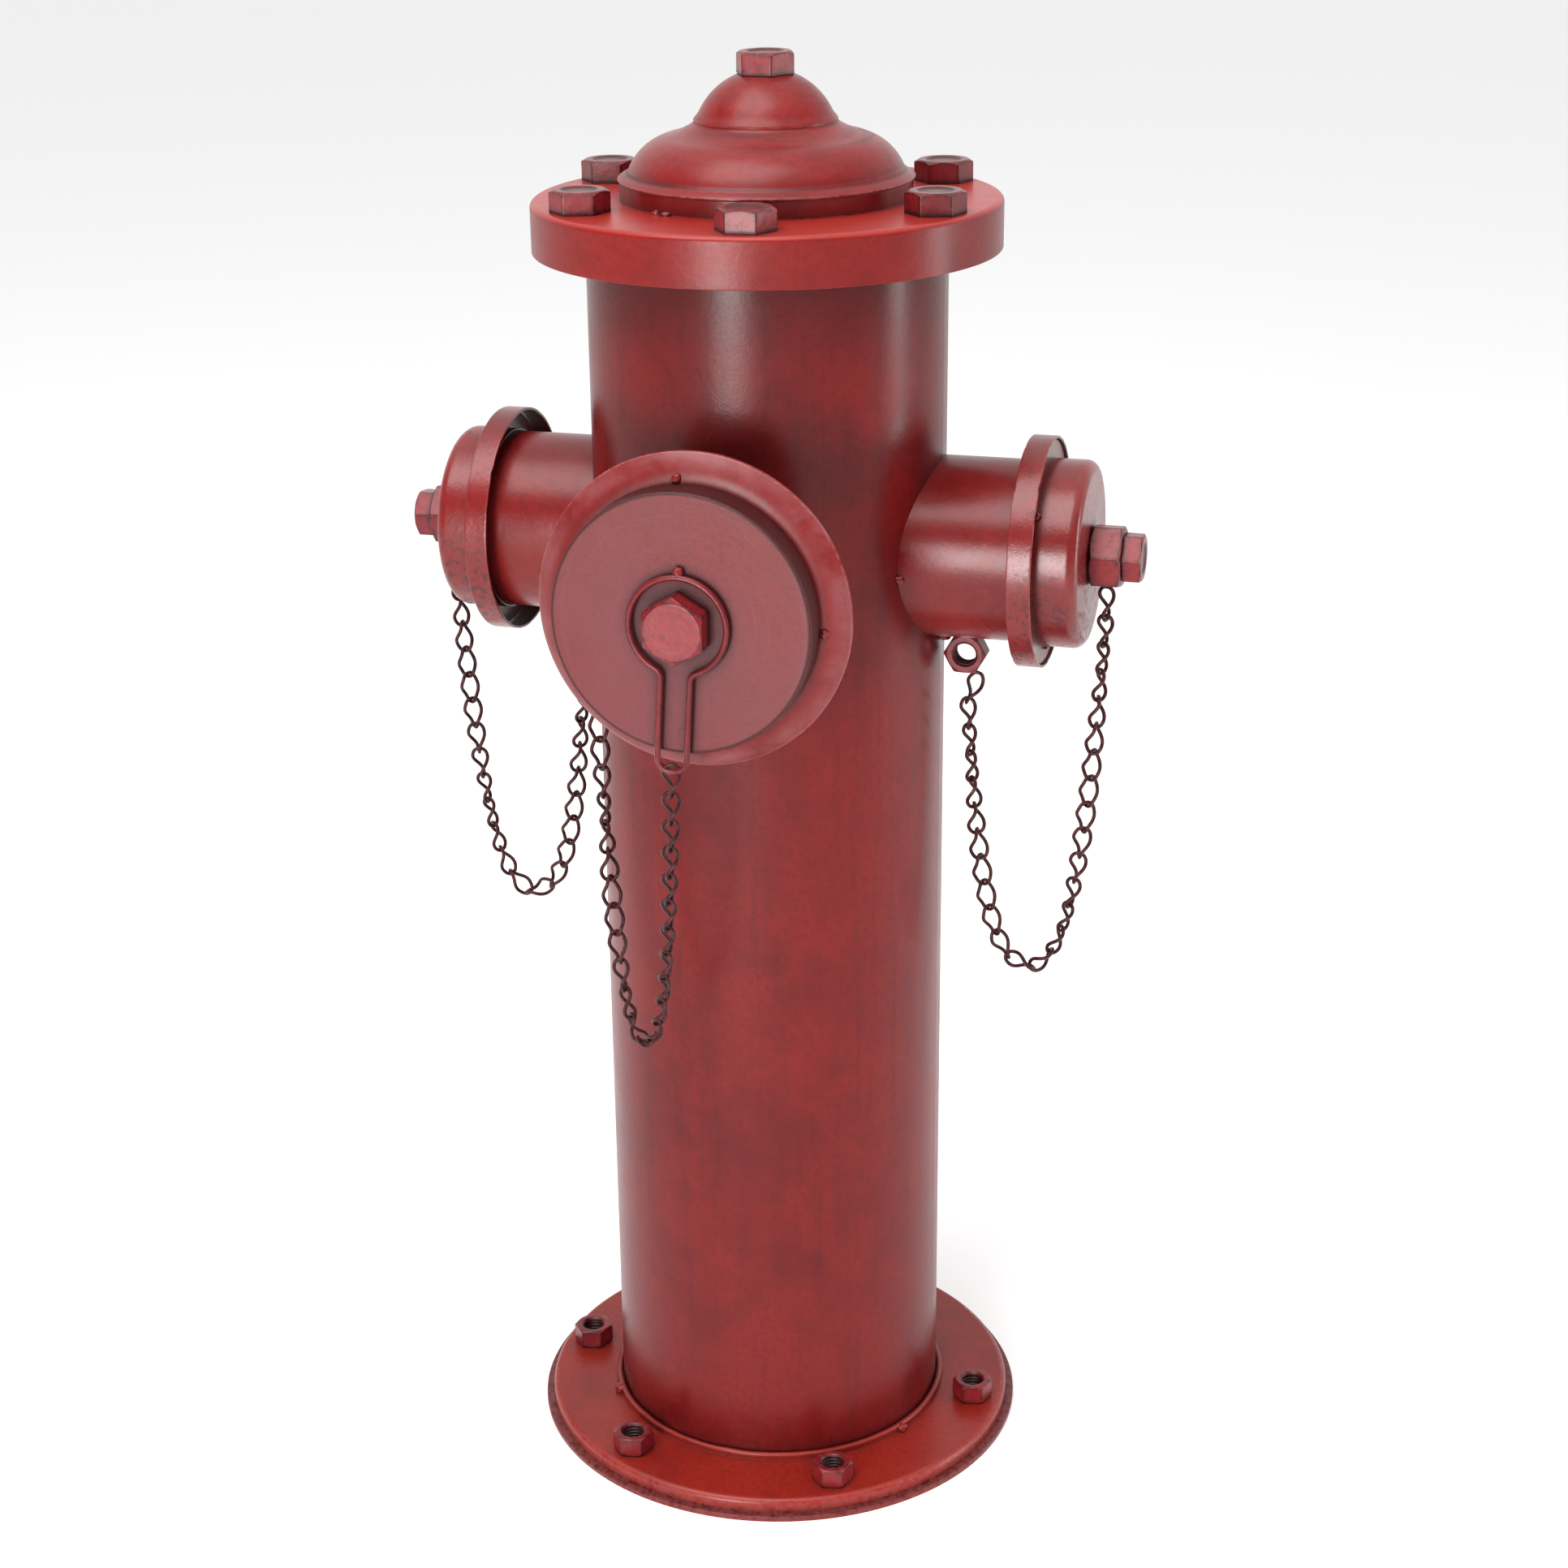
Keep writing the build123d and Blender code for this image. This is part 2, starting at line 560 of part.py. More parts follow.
def write_front_nozzle(link):
    """Front nozzle with its fixed cap, bolt, clip, chain and anchor nut."""
    place = FRONT_NOZZLE
    write("front_pipe", nozzle_pipe(FRONT_PIPE_RADIUS, FRONT_PIPE_END, place))
    write("front_crossbar", place * crossbar(FRONT_PIPE_RADIUS, FRONT_CROSSBAR_FACE, M18_RADIUS))
    nut = crossbar_nut(M18_FLATS, M18_RADIUS, M18_NUT_HEIGHT, FRONT_CROSSBAR_FACE)
    write("front_crossbar_nut", place * nut)
    write("front_cap_dish", place * front_dish())
    drum = cap_drum(FRONT_DRUM_RADIUS, DISH_FACE, FRONT_DRUM_END, FRONT_DRUM_EDGE_RADIUS, M18_RADIUS)
    write("front_cap_drum", place * drum)
    seat = FRONT_DRUM_END + HEAD_GAP
    bolt = hexagon_bolt(M18_FLATS, M18_HEAD_HEIGHT, M18_RADIUS, seat, FRONT_BOLT_SHANK)
    write("front_bolt", place * (Rot(0, 0, 30) * bolt))
    write("front_clip", place * front_clip())

    clip_foot = CLIP_LEG_END + CLIP_LEG_OFFSET
    tilt = math.radians(CLIP_TILT)
    clip_foot_x = -clip_foot * math.sin(tilt)
    clip_foot_z = NOZZLE_HEIGHT - clip_foot * math.cos(tilt)
    hook_height = clip_foot_z + CLIP_WIRE_RADIUS + 2 * LINK_CLEARANCE
    hook = Vector(clip_foot_x, -FRONT_DRUM_END - CLIP_STANDOFF, hook_height)

    angle = math.radians(FRONT_ANCHOR_ANGLE)
    away = Vector(math.cos(angle), 0, math.sin(angle))
    centre = Vector(0, 0, NOZZLE_HEIGHT) + away * (FRONT_PIPE_RADIUS + M12_FLATS / 2 + WELD_GAP)
    nut = hexagon_nut(M12_FLATS, M12_BORE_RADIUS, -M12_NUT_HEIGHT / 2, M12_NUT_HEIGHT)
    middle = (centre.X, -FRONT_ANCHOR_REACH, centre.Z)
    nut_plane = Plane(origin=middle, x_dir=away.cross(Vector(0, 1, 0)), z_dir=(0, -1, 0))
    write("front_anchor_nut", nut_plane.location * nut)
    corner_angle = angle + math.radians(30)
    corner = centre + Vector(math.cos(corner_angle), 0, math.sin(corner_angle)) * (M12_FLATS / math.sqrt(3))
    top_line = Vector(corner.X - 0.6, -FRONT_ANCHOR_REACH, corner.Z - LINK_WIRE_RADIUS - 3 * WELD_GAP)
    sideways = Vector(hook.Y - top_line.Y, top_line.X - hook.X, 0).normalized()
    toward = Vector(-0.3, 0.1, -0.95)
    piece, anchor_joint = end_link(link, top_line, toward, sideways, FRONT_CHAIN_LINKS)
    write("front_anchor_link", piece)
    write("front_chain", chain(link, hook, anchor_joint, FRONT_CHAIN_LINKS, 1))
    return hook, anchor_joint


def write_side_nozzles(link):
    """Right and left nozzles, which are mirror images apart from their chains' lengths."""
    place = RIGHT_NOZZLE
    drum_start = BAND_END - DISC_RECESS - CAP_SHEET - DRUM_TUCK
    pieces = {
        "pipe": nozzle_pipe(SIDE_PIPE_RADIUS, SIDE_PIPE_END, place),
        "crossbar": place * crossbar(SIDE_PIPE_RADIUS, SIDE_CROSSBAR_FACE, M14_RADIUS),
        "crossbar_nut": place * crossbar_nut(M14_FLATS, M14_RADIUS, M14_NUT_HEIGHT, SIDE_CROSSBAR_FACE),
        "cap_band": place * cap_band(),
        "cap_disc": place * cap_disc(),
        "cap_drum": place * cap_drum(DRUM_RADIUS, drum_start, DRUM_END, DRUM_EDGE_RADIUS, M14_RADIUS),
    }
    spacer = hexagon_nut(M18_FLATS, M18_BORE_RADIUS, DRUM_END + HEAD_GAP, M18_NUT_HEIGHT - HEAD_GAP)
    pieces["cap_spacer_nut"] = place * (Rot(0, 0, 90 - CAP_NUT_TILT) * spacer)
    bolt = hexagon_bolt(M14_FLATS, M14_HEAD_HEIGHT, M14_RADIUS, CAP_NUT_END + HEAD_GAP, SIDE_BOLT_SHANK)
    pieces["cap_bolt"] = place * (Rot(0, 0, 90 - CAP_BOLT_TILT) * bolt)

    nut_middle = DRUM_END + M18_NUT_HEIGHT / 2
    below_nut = (M18_FLATS / 2 + LINK_WIDTH / 2 + WELD_GAP) / math.cos(math.radians(CAP_NUT_TILT))
    top_line = Vector(nut_middle, 0, NOZZLE_HEIGHT - below_nut + LINK_BEND_RADIUS)
    sideways = Vector(0, -1, 0)
    cap_link, cap_joint = end_link(link, top_line, Vector(0, 0, -1), sideways, -1)
    pieces["cap_link"] = cap_link

    anchor_height = NOZZLE_HEIGHT - SIDE_PIPE_RADIUS - M12_FLATS / 2 - WELD_GAP
    nut = hexagon_nut(M12_FLATS, M12_BORE_RADIUS, -M12_NUT_HEIGHT / 2, M12_NUT_HEIGHT)
    pieces["anchor_nut"] = Location((SIDE_ANCHOR_REACH, 0, anchor_height), (90, 0, 0)) * nut
    corner = Vector(SIDE_ANCHOR_REACH + M12_FLATS / math.sqrt(12), 0, anchor_height - M12_FLATS / 2)
    top_line = corner + Vector(1.0, 0, -LINK_WIRE_RADIUS - 3 * WELD_GAP)
    toward = Vector(-0.36, 0, -0.933)
    anchor_link, anchor_joint = end_link(link, top_line, toward, sideways, RIGHT_CHAIN_LINKS - 1)
    pieces["anchor_link"] = anchor_link

    for name, shape in pieces.items():
        write("right_" + name, shape)
        write("left_" + name, mirrored(shape))
    write("right_chain", chain(link, cap_joint, anchor_joint, RIGHT_CHAIN_LINKS, 0))
    write("left_chain", mirrored(chain(link, cap_joint, anchor_joint, LEFT_CHAIN_LINKS, 0)))
    return cap_joint, anchor_joint


os.makedirs("parts", exist_ok=True)
write_base_and_barrel()
write_top()
steel_link = chain_link()
front_joints = write_front_nozzle(steel_link)
side_joints = write_side_nozzles(steel_link)
# Each chain's swing axis runs through its two end joints
print("front chain joints", *[tuple(round(value, 3) for value in joint) for joint in front_joints])
print("right chain joints", *[tuple(round(value, 3) for value in joint) for joint in side_joints])
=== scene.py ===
import json
import math

import bmesh
import bpy
import numpy as np
from mathutils import Matrix, Vector, noise


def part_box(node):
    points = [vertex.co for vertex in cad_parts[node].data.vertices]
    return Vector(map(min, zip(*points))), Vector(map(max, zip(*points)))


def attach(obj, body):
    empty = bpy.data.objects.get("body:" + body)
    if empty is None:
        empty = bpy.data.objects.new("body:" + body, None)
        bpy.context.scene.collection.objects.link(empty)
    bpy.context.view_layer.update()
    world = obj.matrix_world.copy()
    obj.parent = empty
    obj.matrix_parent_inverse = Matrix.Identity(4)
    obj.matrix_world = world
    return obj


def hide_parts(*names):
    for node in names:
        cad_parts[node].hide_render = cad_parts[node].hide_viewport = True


MM = 0.001
SOLIDS = {
    "base_nuts": 6,
    "flange_bolts": 6,
    "front_chain": 24,
    "right_chain": 25,
    "left_chain": 23,
}
CAMERA_PLACE = (0.342694, -1.219424, 0.826972)
CAMERA_AZIMUTH = 0.287192
CAMERA_PITCH = -0.369891
CAMERA_ROLL = -0.015961
CAMERA_LENS = 63.82
CAMERA_SHIFT = (0.0287, 0.0062)

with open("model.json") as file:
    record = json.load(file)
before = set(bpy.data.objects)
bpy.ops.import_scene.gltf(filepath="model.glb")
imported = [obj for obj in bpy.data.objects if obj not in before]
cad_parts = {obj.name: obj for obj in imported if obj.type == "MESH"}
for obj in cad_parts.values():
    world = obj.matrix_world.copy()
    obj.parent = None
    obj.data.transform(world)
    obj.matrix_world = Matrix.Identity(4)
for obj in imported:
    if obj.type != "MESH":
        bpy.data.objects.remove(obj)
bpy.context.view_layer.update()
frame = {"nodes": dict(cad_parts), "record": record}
body_of_node = {
    node: body
    for body, nodes in frame["record"]["behaviour"]["bodies"].items()
    for node in nodes
}


# ---------------------------------------------------------------- reading the frame


def span(node):
    """Lowest and highest corner of a CAD node, in millimetres."""
    low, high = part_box(node)
    return low / MM, high / MM


def solids(node):
    """The vertices of each solid of a CAD node, in millimetres."""
    mesh = frame["nodes"][node].data
    points = np.zeros(len(mesh.vertices) * 3)
    mesh.vertices.foreach_get("co", points)
    return np.split(points.reshape(-1, 3) / MM, SOLIDS.get(node, 1))


def outward(direction, origin):
    """Matrix whose local Z points along direction and whose local Y points up where it can."""
    z = Vector(direction).normalized()
    up = Vector((0, 0, 1)) if abs(z.z) < 0.9 else Vector((0, 1, 0))
    x = up.cross(z).normalized()
    y = z.cross(x)
    turn = Matrix((x, y, z)).transposed().to_4x4()
    return Matrix.Translation(Vector(origin)) @ turn


FRONT, RIGHT, LEFT, UP = (0, -1, 0), (1, 0, 0), (-1, 0, 0), (0, 0, 1)
drum_low, drum_high = span("front_cap_drum")
NOZZLE_HEIGHT = (drum_low.z + drum_high.z) / 2
NOZZLE_CENTRE = (0, 0, NOZZLE_HEIGHT)
NOZZLES = {"front": FRONT, "right": RIGHT, "left": LEFT}


def reach(node, side):
    """Radius, start and end of a round nozzle part, along its nozzle's direction."""
    low, high = span(node)
    along = [Vector(NOZZLES[side]).dot(corner) for corner in (low, high)]
    return (high.z - low.z) / 2, min(along), max(along)


# ---------------------------------------------------------------- meshes


class Shape:
    """Points in millimetres, faces, and how dark each point is painted with dark wash together with painted shade."""

    def __init__(self):
        self.points = []
        self.faces = []
        self.shade_and_wash = []

    def grid(self, rows, closed=False):
        """Surface over rows of points, each row a closed ring or one single point."""
        starts = []
        for row in rows:
            starts.append((len(self.points), len(row)))
            self.points.extend(row)
            self.shade_and_wash.extend([0.0] * len(row))
        pairs = list(zip(starts, starts[1:]))
        if closed:
            pairs.append((starts[-1], starts[0]))
        for (a, na), (b, nb) in pairs:
            for i in range(max(na, nb)):
                j = (i + 1) % max(na, nb)
                if na == 1:
                    self.faces.append((a, b + j, b + i))
                elif nb == 1:
                    self.faces.append((a + i, a + j, b))
                else:
                    self.faces.append((a + i, a + j, b + j, b + i))
        return self

    def moved(self, place):
        self.points = [place @ Vector(p) for p in self.points]
        return self

    def join(self, other):
        start = len(self.points)
        self.points.extend(other.points)
        self.shade_and_wash.extend(other.shade_and_wash)
        self.faces.extend(tuple(start + i for i in face) for face in other.faces)
        return self

    def darkened(self, level):
        """Dark wash together with painted shade on every point, as strong as level gives for its radius and height.
        """
        for i, point in enumerate(self.points):
            self.shade_and_wash[i] = max(self.shade_and_wash[i], level(math.hypot(point[0], point[1]), point[2]))
        return self

    def bent(self, change):
        """Every point moved by what change gives for it."""
        self.points = [Vector(p) + Vector(change(Vector(p))) for p in self.points]
        return self


def rounded(corners, steps=5, spacing=7.0, margin=1.0):
    """Closed outline through corners (radius, height, rounding), with arcs at the rounded ones."""
    runs = []
    count = len(corners)
    for i, (x, y, rounding) in enumerate(corners):
        here = Vector((x, y))
        before = Vector(corners[i - 1][:2]) - here
        after = Vector(corners[(i + 1) % count][:2]) - here
        half = before.angle(after) / 2
        if rounding <= 0 or half > 1.55:
            runs.append([here])
            continue
        reach_back = rounding / math.tan(half)
        first = here + before.normalized() * reach_back
        last = here + after.normalized() * reach_back
        middle = here + (before.normalized() + after.normalized()).normalized() * rounding / math.sin(half)
        arc = []
        for k in range(steps + 1):
            side = first.lerp(last, k / steps) - middle
            arc.append(middle + side.normalized() * rounding)
        runs.append(arc)
    line = []
    for i, run in enumerate(runs):
        line.extend(run)
        start, end = run[-1], runs[(i + 1) % count][0]
        length = (end - start).length
        if length < 2.5 * margin:
            continue
        inner = [margin]
        pieces = max(1, round((length - 2 * margin) / spacing))
        inner += [margin + (length - 2 * margin) * k / pieces for k in range(1, pieces)]
        inner.append(length - margin)
        line.extend(start.lerp(end, d / length) for d in inner)
    return [(p.x, p.y) for p in line]


def lathe(outline, segments=192, closed=True):
    """Outline of (radius, height) turned about Z."""
    rows = []
    for radius, height in outline:
        if radius < 1e-6:
            rows.append([Vector((0, 0, height))])
            continue
        rows.append([
            Vector((
                radius * math.cos(math.tau * i / segments),
                radius * math.sin(math.tau * i / segments),
                height,
            ))
            for i in range(segments)
        ])
    return Shape().grid(rows, closed)


def dented(shape, size, amount):
    """Sheet metal with slight hollows: points move towards the shape's axis, never outward."""

    def change(p):
        flat = Vector((p.x, p.y, 0))
        depth = amount * (0.5 + 0.5 * noise.noise(p / size))
        return -flat.normalized() * depth if flat.length > 1 else Vector()

    return shape.bent(change)


def tube_along(path, wire, sides=12, closed=True):
    """Round wire along a path of points."""
    count = len(path)
    ahead = [path[(i + 1) % count] if closed or i + 1 < count else path[i] for i in range(count)]
    behind = [path[i - 1] if closed or i else path[i] for i in range(count)]
    tangents = [(a - b).normalized() for a, b in zip(ahead, behind)]
    normal = tangents[0].orthogonal().normalized()
    normals = []
    for tangent in tangents:
        normal = (normal - tangent * normal.dot(tangent)).normalized()
        normals.append(normal)
    turn = 0
    if closed:
        last = (normal - tangents[0] * normal.dot(tangents[0])).normalized()
        turn = math.atan2(tangents[0].dot(last.cross(normals[0])), last.dot(normals[0]))
    rows = []
    for i, (point, tangent, normal) in enumerate(zip(path, tangents, normals)):
        side = tangent.cross(normal)
        angles = [turn * i / count + math.tau * k / sides for k in range(sides)]
        rows.append([point + (normal * math.cos(a) + side * math.sin(a)) * wire for a in angles])
    if not closed:
        rows = [[path[0]]] + rows + [[path[-1]]]
    return Shape().grid(rows, closed)


def lump(centre, axis, radius, height, seed):
    """Small uneven bead of weld metal that stands on a surface."""
    rows = [[Vector((0, 0, height))]]
    sides, rings = 20, 8
    for k in range(1, rings + 1):
        lean = math.pi * 0.62 * k / rings
        rows.append([
            Vector((
                radius * math.sin(lean) * math.cos(math.tau * i / sides),
                radius * math.sin(lean) * math.sin(math.tau * i / sides),
                height * math.cos(lean),
            ))
            for i in range(sides)
        ])
    rows.append([Vector((0, 0, height * math.cos(math.pi * 0.62) - 0.3 * height))])
    shape = Shape().grid(rows)
    offset = Vector((seed * 7.1, seed * 3.3, seed * 1.7))
    shape.bent(lambda p: p * 0.34 * noise.noise(p / (0.7 * radius) + offset))
    return shape.moved(outward(axis, centre))


# ---------------------------------------------------------------- fasteners

CORNER_OFFSETS = (-25, -18, -11, -6, -3, -1.6, -0.7, 0, 0.7, 1.6, 3, 6, 11, 18, 25, 30)
HEXAGON_ANGLES = [math.radians(60 * side + offset) for side in range(6) for offset in CORNER_OFFSETS]
CHAMFER_SLOPE = math.tan(math.radians(30))
SEAT_INSET = 0.07


def hexagon_radius(angle, flats, rounding):
    """Distance from a hexagon's centre to its slightly rounded outline. A corner lies on local X."""
    apothem = flats / 2
    off_flat = (angle % math.radians(60)) - math.radians(30)
    off_corner = math.radians(30) - abs(off_flat)
    middle = (apothem - rounding) / math.cos(math.radians(30))
    tangent = math.atan2(rounding * 0.5, middle + rounding * math.cos(math.radians(30)))
    if off_corner >= tangent:
        return apothem / math.cos(off_flat)
    return middle * math.cos(off_corner) + math.sqrt(rounding**2 - (middle * math.sin(off_corner)) ** 2)


def hexagon_row(flats, radius_at, height_at, rounding=0.9):
    """Ring of points; radius_at and height_at take the hexagon's own radius at that angle."""
    row = []
    for angle in HEXAGON_ANGLES:
        edge = hexagon_radius(angle, flats, rounding)
        radius = radius_at(edge)
        row.append(Vector((radius * math.cos(angle), radius * math.sin(angle), height_at(edge))))
    return row


def round_row(radius, height):
    return [Vector((radius * math.cos(a), radius * math.sin(a), height)) for a in HEXAGON_ANGLES]


def hexagon_sides(flats, low, high, chamfer_low, chamfer_high):
    """Rows from the top face's edge down the six sides to the bottom face's edge."""
    face = 0.475 * flats

    def cone(share, edge):
        return face + (edge - face) * share

    rows = [round_row(face - 0.5, high), round_row(face, high)]
    for share in (0.3, 0.65, 1.0):
        if chamfer_high:
            rows.append(hexagon_row(
                flats,
                lambda edge, s=share: cone(s, edge),
                lambda edge, s=share: high - (cone(s, edge) - face) * CHAMFER_SLOPE,
            ))
    top = (lambda edge: high - (edge - face) * CHAMFER_SLOPE) if chamfer_high else (lambda edge: high)
    foot = (lambda edge: low + (edge - face) * CHAMFER_SLOPE) if chamfer_low else (lambda edge: low)
    for share in (0.04, 0.2, 0.4, 0.6, 0.8, 0.96):
        rows.append(hexagon_row(
            flats,
            lambda edge: edge,
            lambda edge, s=share: top(edge) + (foot(edge) - top(edge)) * s,
        ))
    shares = (1.0, 0.65, 0.3) if chamfer_low else (1.0,)
    for share in shares:
        rows.append(hexagon_row(
            flats,
            lambda edge, s=share: cone(s, edge) if chamfer_low else edge - SEAT_INSET,
            lambda edge, s=share: low + (cone(s, edge) - face) * CHAMFER_SLOPE if chamfer_low else low,
        ))
    rows += [round_row(face, low), round_row(face - 0.5, low)]
    return rows


def thread_rows(minor, major, pitch, high, low):
    """Helical grooves of a tapped bore, from its top to its bottom."""
    rows = []
    steps = max(8, round((high - low) / pitch * 7))
    for k in range(steps + 1):
        height = high + (low - high) * k / steps
        row = []
        for angle in HEXAGON_ANGLES:
            phase = (height / pitch + angle / math.tau) % 1.0
            groove = min(1.0, max(0.0, 1.6 * (1 - abs(2 * phase - 1)) - 0.3))
            fade = min(1.0, (high - height) / pitch, (height - low) / pitch)
            radius = minor + (major - minor) * groove * max(0.0, fade)
            row.append(Vector((radius * math.cos(angle), radius * math.sin(angle), height)))
        rows.append(row)
    return rows


def bolt_shape(flats, head_low, head_high, shank, tip, depth):
    """Hexagon bolt with a dished head, or a flat one if depth is small."""
    dish = 0.36 * flats
    rows = [[Vector((0, 0, head_high - depth))]]
    rows += [round_row(radius, head_high - depth) for radius in (dish * 0.3, dish * 0.6, dish - 1.9)]
    rows += [
        round_row(dish - 1.1, head_high - depth * 0.9),
        round_row(dish - 0.5, head_high - depth * 0.4),
        round_row(dish, head_high - depth * 0.1),
        round_row(dish + 0.5, head_high),
    ]
    rows += hexagon_sides(flats, head_low, head_high, False, True)
    rows += [
        round_row(shank + 0.6, head_low),
        round_row(shank, head_low - 0.4),
        round_row(shank, tip + 1),
        round_row(shank - 1, tip),
        [Vector((0, 0, tip))],
    ]
    return Shape().grid(rows)


def nut_shape(flats, low, high, bore, major, pitch):
    """Hexagon nut with a tapped bore."""
    mouth = major - bore + 0.3
    rows = [round_row(bore + mouth + 0.4, high)]
    rows += hexagon_sides(flats, low, high, True, True)
    rows += [round_row(bore + mouth + 0.4, low), round_row(bore + mouth, low)]
    rows += list(reversed(thread_rows(bore, major, pitch, high - mouth, low + mouth)))
    rows += [round_row(bore + mouth, high)]
    return Shape().grid(rows, closed=True)


def fastener(points, direction):
    """Place and sizes of a CAD fastener: local Z along direction, local X towards a corner."""
    turn = np.array(outward(direction, (0, 0, 0)).to_3x3())
    local = points @ turn
    middle = (local.min(0) + local.max(0)) / 2
    offset = local[:, :2] - middle[:2]
    radial = np.hypot(offset[:, 0], offset[:, 1])
    far = int(radial.argmax())
    corner = float(radial[far])
    angle = math.atan2(offset[far, 1], offset[far, 0])
    origin = Vector(turn @ np.array([middle[0], middle[1], 0.0]))
    place = outward(direction, origin) @ Matrix.Rotation(angle, 4, "Z")
    head = local[radial > 0.8 * corner, 2]
    return {
        "place": place,
        "flats": corner * math.sqrt(3),
        "low": float(local[:, 2].min()),
        "high": float(local[:, 2].max()),
        "head_low": float(head.min()),
        "bore": float(radial.min()),
    }


def bolt(points, direction, shank, depth=0.75):
    size = fastener(points, direction)
    shape = bolt_shape(size["flats"], size["head_low"], size["high"], shank, size["low"], depth)
    dish = 0.36 * size["flats"]
    floor = size["high"] - 0.6
    # Dark wash together with painted shade in the head's dished hollow, and painted shade at the head's foot where it
    # sits on the part below.
    shape.darkened(lambda radius, height: 0.55 if radius < dish - 0.3 and height < floor else 0.0)
    shape.darkened(lambda radius, height: 0.8 if height < size["head_low"] + 0.7 else 0.0)
    return battered(shape).moved(size["place"])


def nut(points, direction, major, pitch):
    size = fastener(points, direction)
    shape = nut_shape(size["flats"], size["low"], size["high"], size["bore"], major, pitch)
    # Painted shade: the tapped bore is painted fully dark, and the nut's foot is darkened where it sits on the part
    # below.
    shape.darkened(lambda radius, height: 1.0 if radius < major + 0.1 else 0.0)
    shape.darkened(lambda radius, height: 0.6 if height < size["low"] + 0.6 else 0.0)
    return battered(shape).moved(size["place"])


def battered(shape):
    """Small dents towards a fastener's axis."""
    return dented(shape, 4.0, 0.16)


# ---------------------------------------------------------------- chains

LINK_WIRE = 0.88
LINK_WIDTH = 9.9
LINK_OVERLAP = 1.86
END_LINK_SLACK = 0.8
QUARTER = math.radians(90)


def link_frame(points, ahead):
    """Centre and long direction of a CAD link, pointing ahead along its chain."""
    centre = points.mean(0)
    along = np.linalg.svd(points - centre, full_matrices=False)[2][0]
    if along @ np.array(ahead) < 0:
        along = -along
    return Vector(centre), Vector(along)


def twisted_link(centre, along, facing, turn, length):
    """Curb link: an oval of wire whose two ends are a quarter turn apart."""
    across = (facing - along * facing.dot(along)).normalized()
    third = along.cross(across)
    half_length, half_width = length / 2, LINK_WIDTH / 2 - LINK_WIRE
    path = []
    for k in range(48):
        t = math.tau * k / 48
        s = -half_length * math.copysign(abs(math.cos(t)) ** 0.9, math.cos(t))
        pear = 1 - 0.10 * s / half_length
        w = half_width * pear * math.copysign(abs(math.sin(t)) ** 0.8, math.sin(t))
        lean = turn + math.radians(45) * math.sin(math.pi / 2 * max(-1, min(1, 1.25 * s / half_length)))
        path.append(centre + along * s + (across * math.cos(lean) + third * math.sin(lean)) * w)
    return tube_along(path, LINK_WIRE, 12)


def curb_chain(side, open_at, drift, calm, slow, lean):
    """Chain shape and the shapes of its welded end links.

    The link open_at faces forward; each next link is turned by drift, or by slow before the link calm.
    The end links are a little longer and stand square to their neighbours (the anchor link off by lean),
    so the chain swings to its limits without its links cutting into each other.
    """
    facing = Vector((0, -1, 0.3))
    links = solids(side + "_chain")
    centres = [Vector(points.mean(0)) for points in links]
    frames = []
    for i, points in enumerate(links):
        ahead = centres[min(i + 1, len(links) - 1)] - centres[max(i - 1, 0)]
        frames.append(link_frame(points, ahead))
    pitch = (centres[3] - centres[2]).length
    length = pitch + LINK_OVERLAP

    def turn(index):
        return QUARTER + drift * (max(index, calm) - open_at) + slow * min(index - calm, 0)

    chain = Shape()
    for i, (centre, along) in enumerate(frames):
        chain.join(twisted_link(centre, along, facing, turn(i), length))
    ends = {}
    anchor = side + "_anchor_link"
    centre, along = link_frame(solids(anchor)[0], Vector(solids(anchor)[0].mean(0)) - centres[-1])
    ends[anchor] = twisted_link(centre, along, facing, turn(len(links) - 1) + lean, length + END_LINK_SLACK)
    if side != "front":
        cap = side + "_cap_link"
        centre, along = link_frame(solids(cap)[0], centres[0] - Vector(solids(cap)[0].mean(0)))
        ends[cap] = twisted_link(centre, along, facing, turn(0), length + END_LINK_SLACK)
    return chain, ends


# ---------------------------------------------------------------- materials


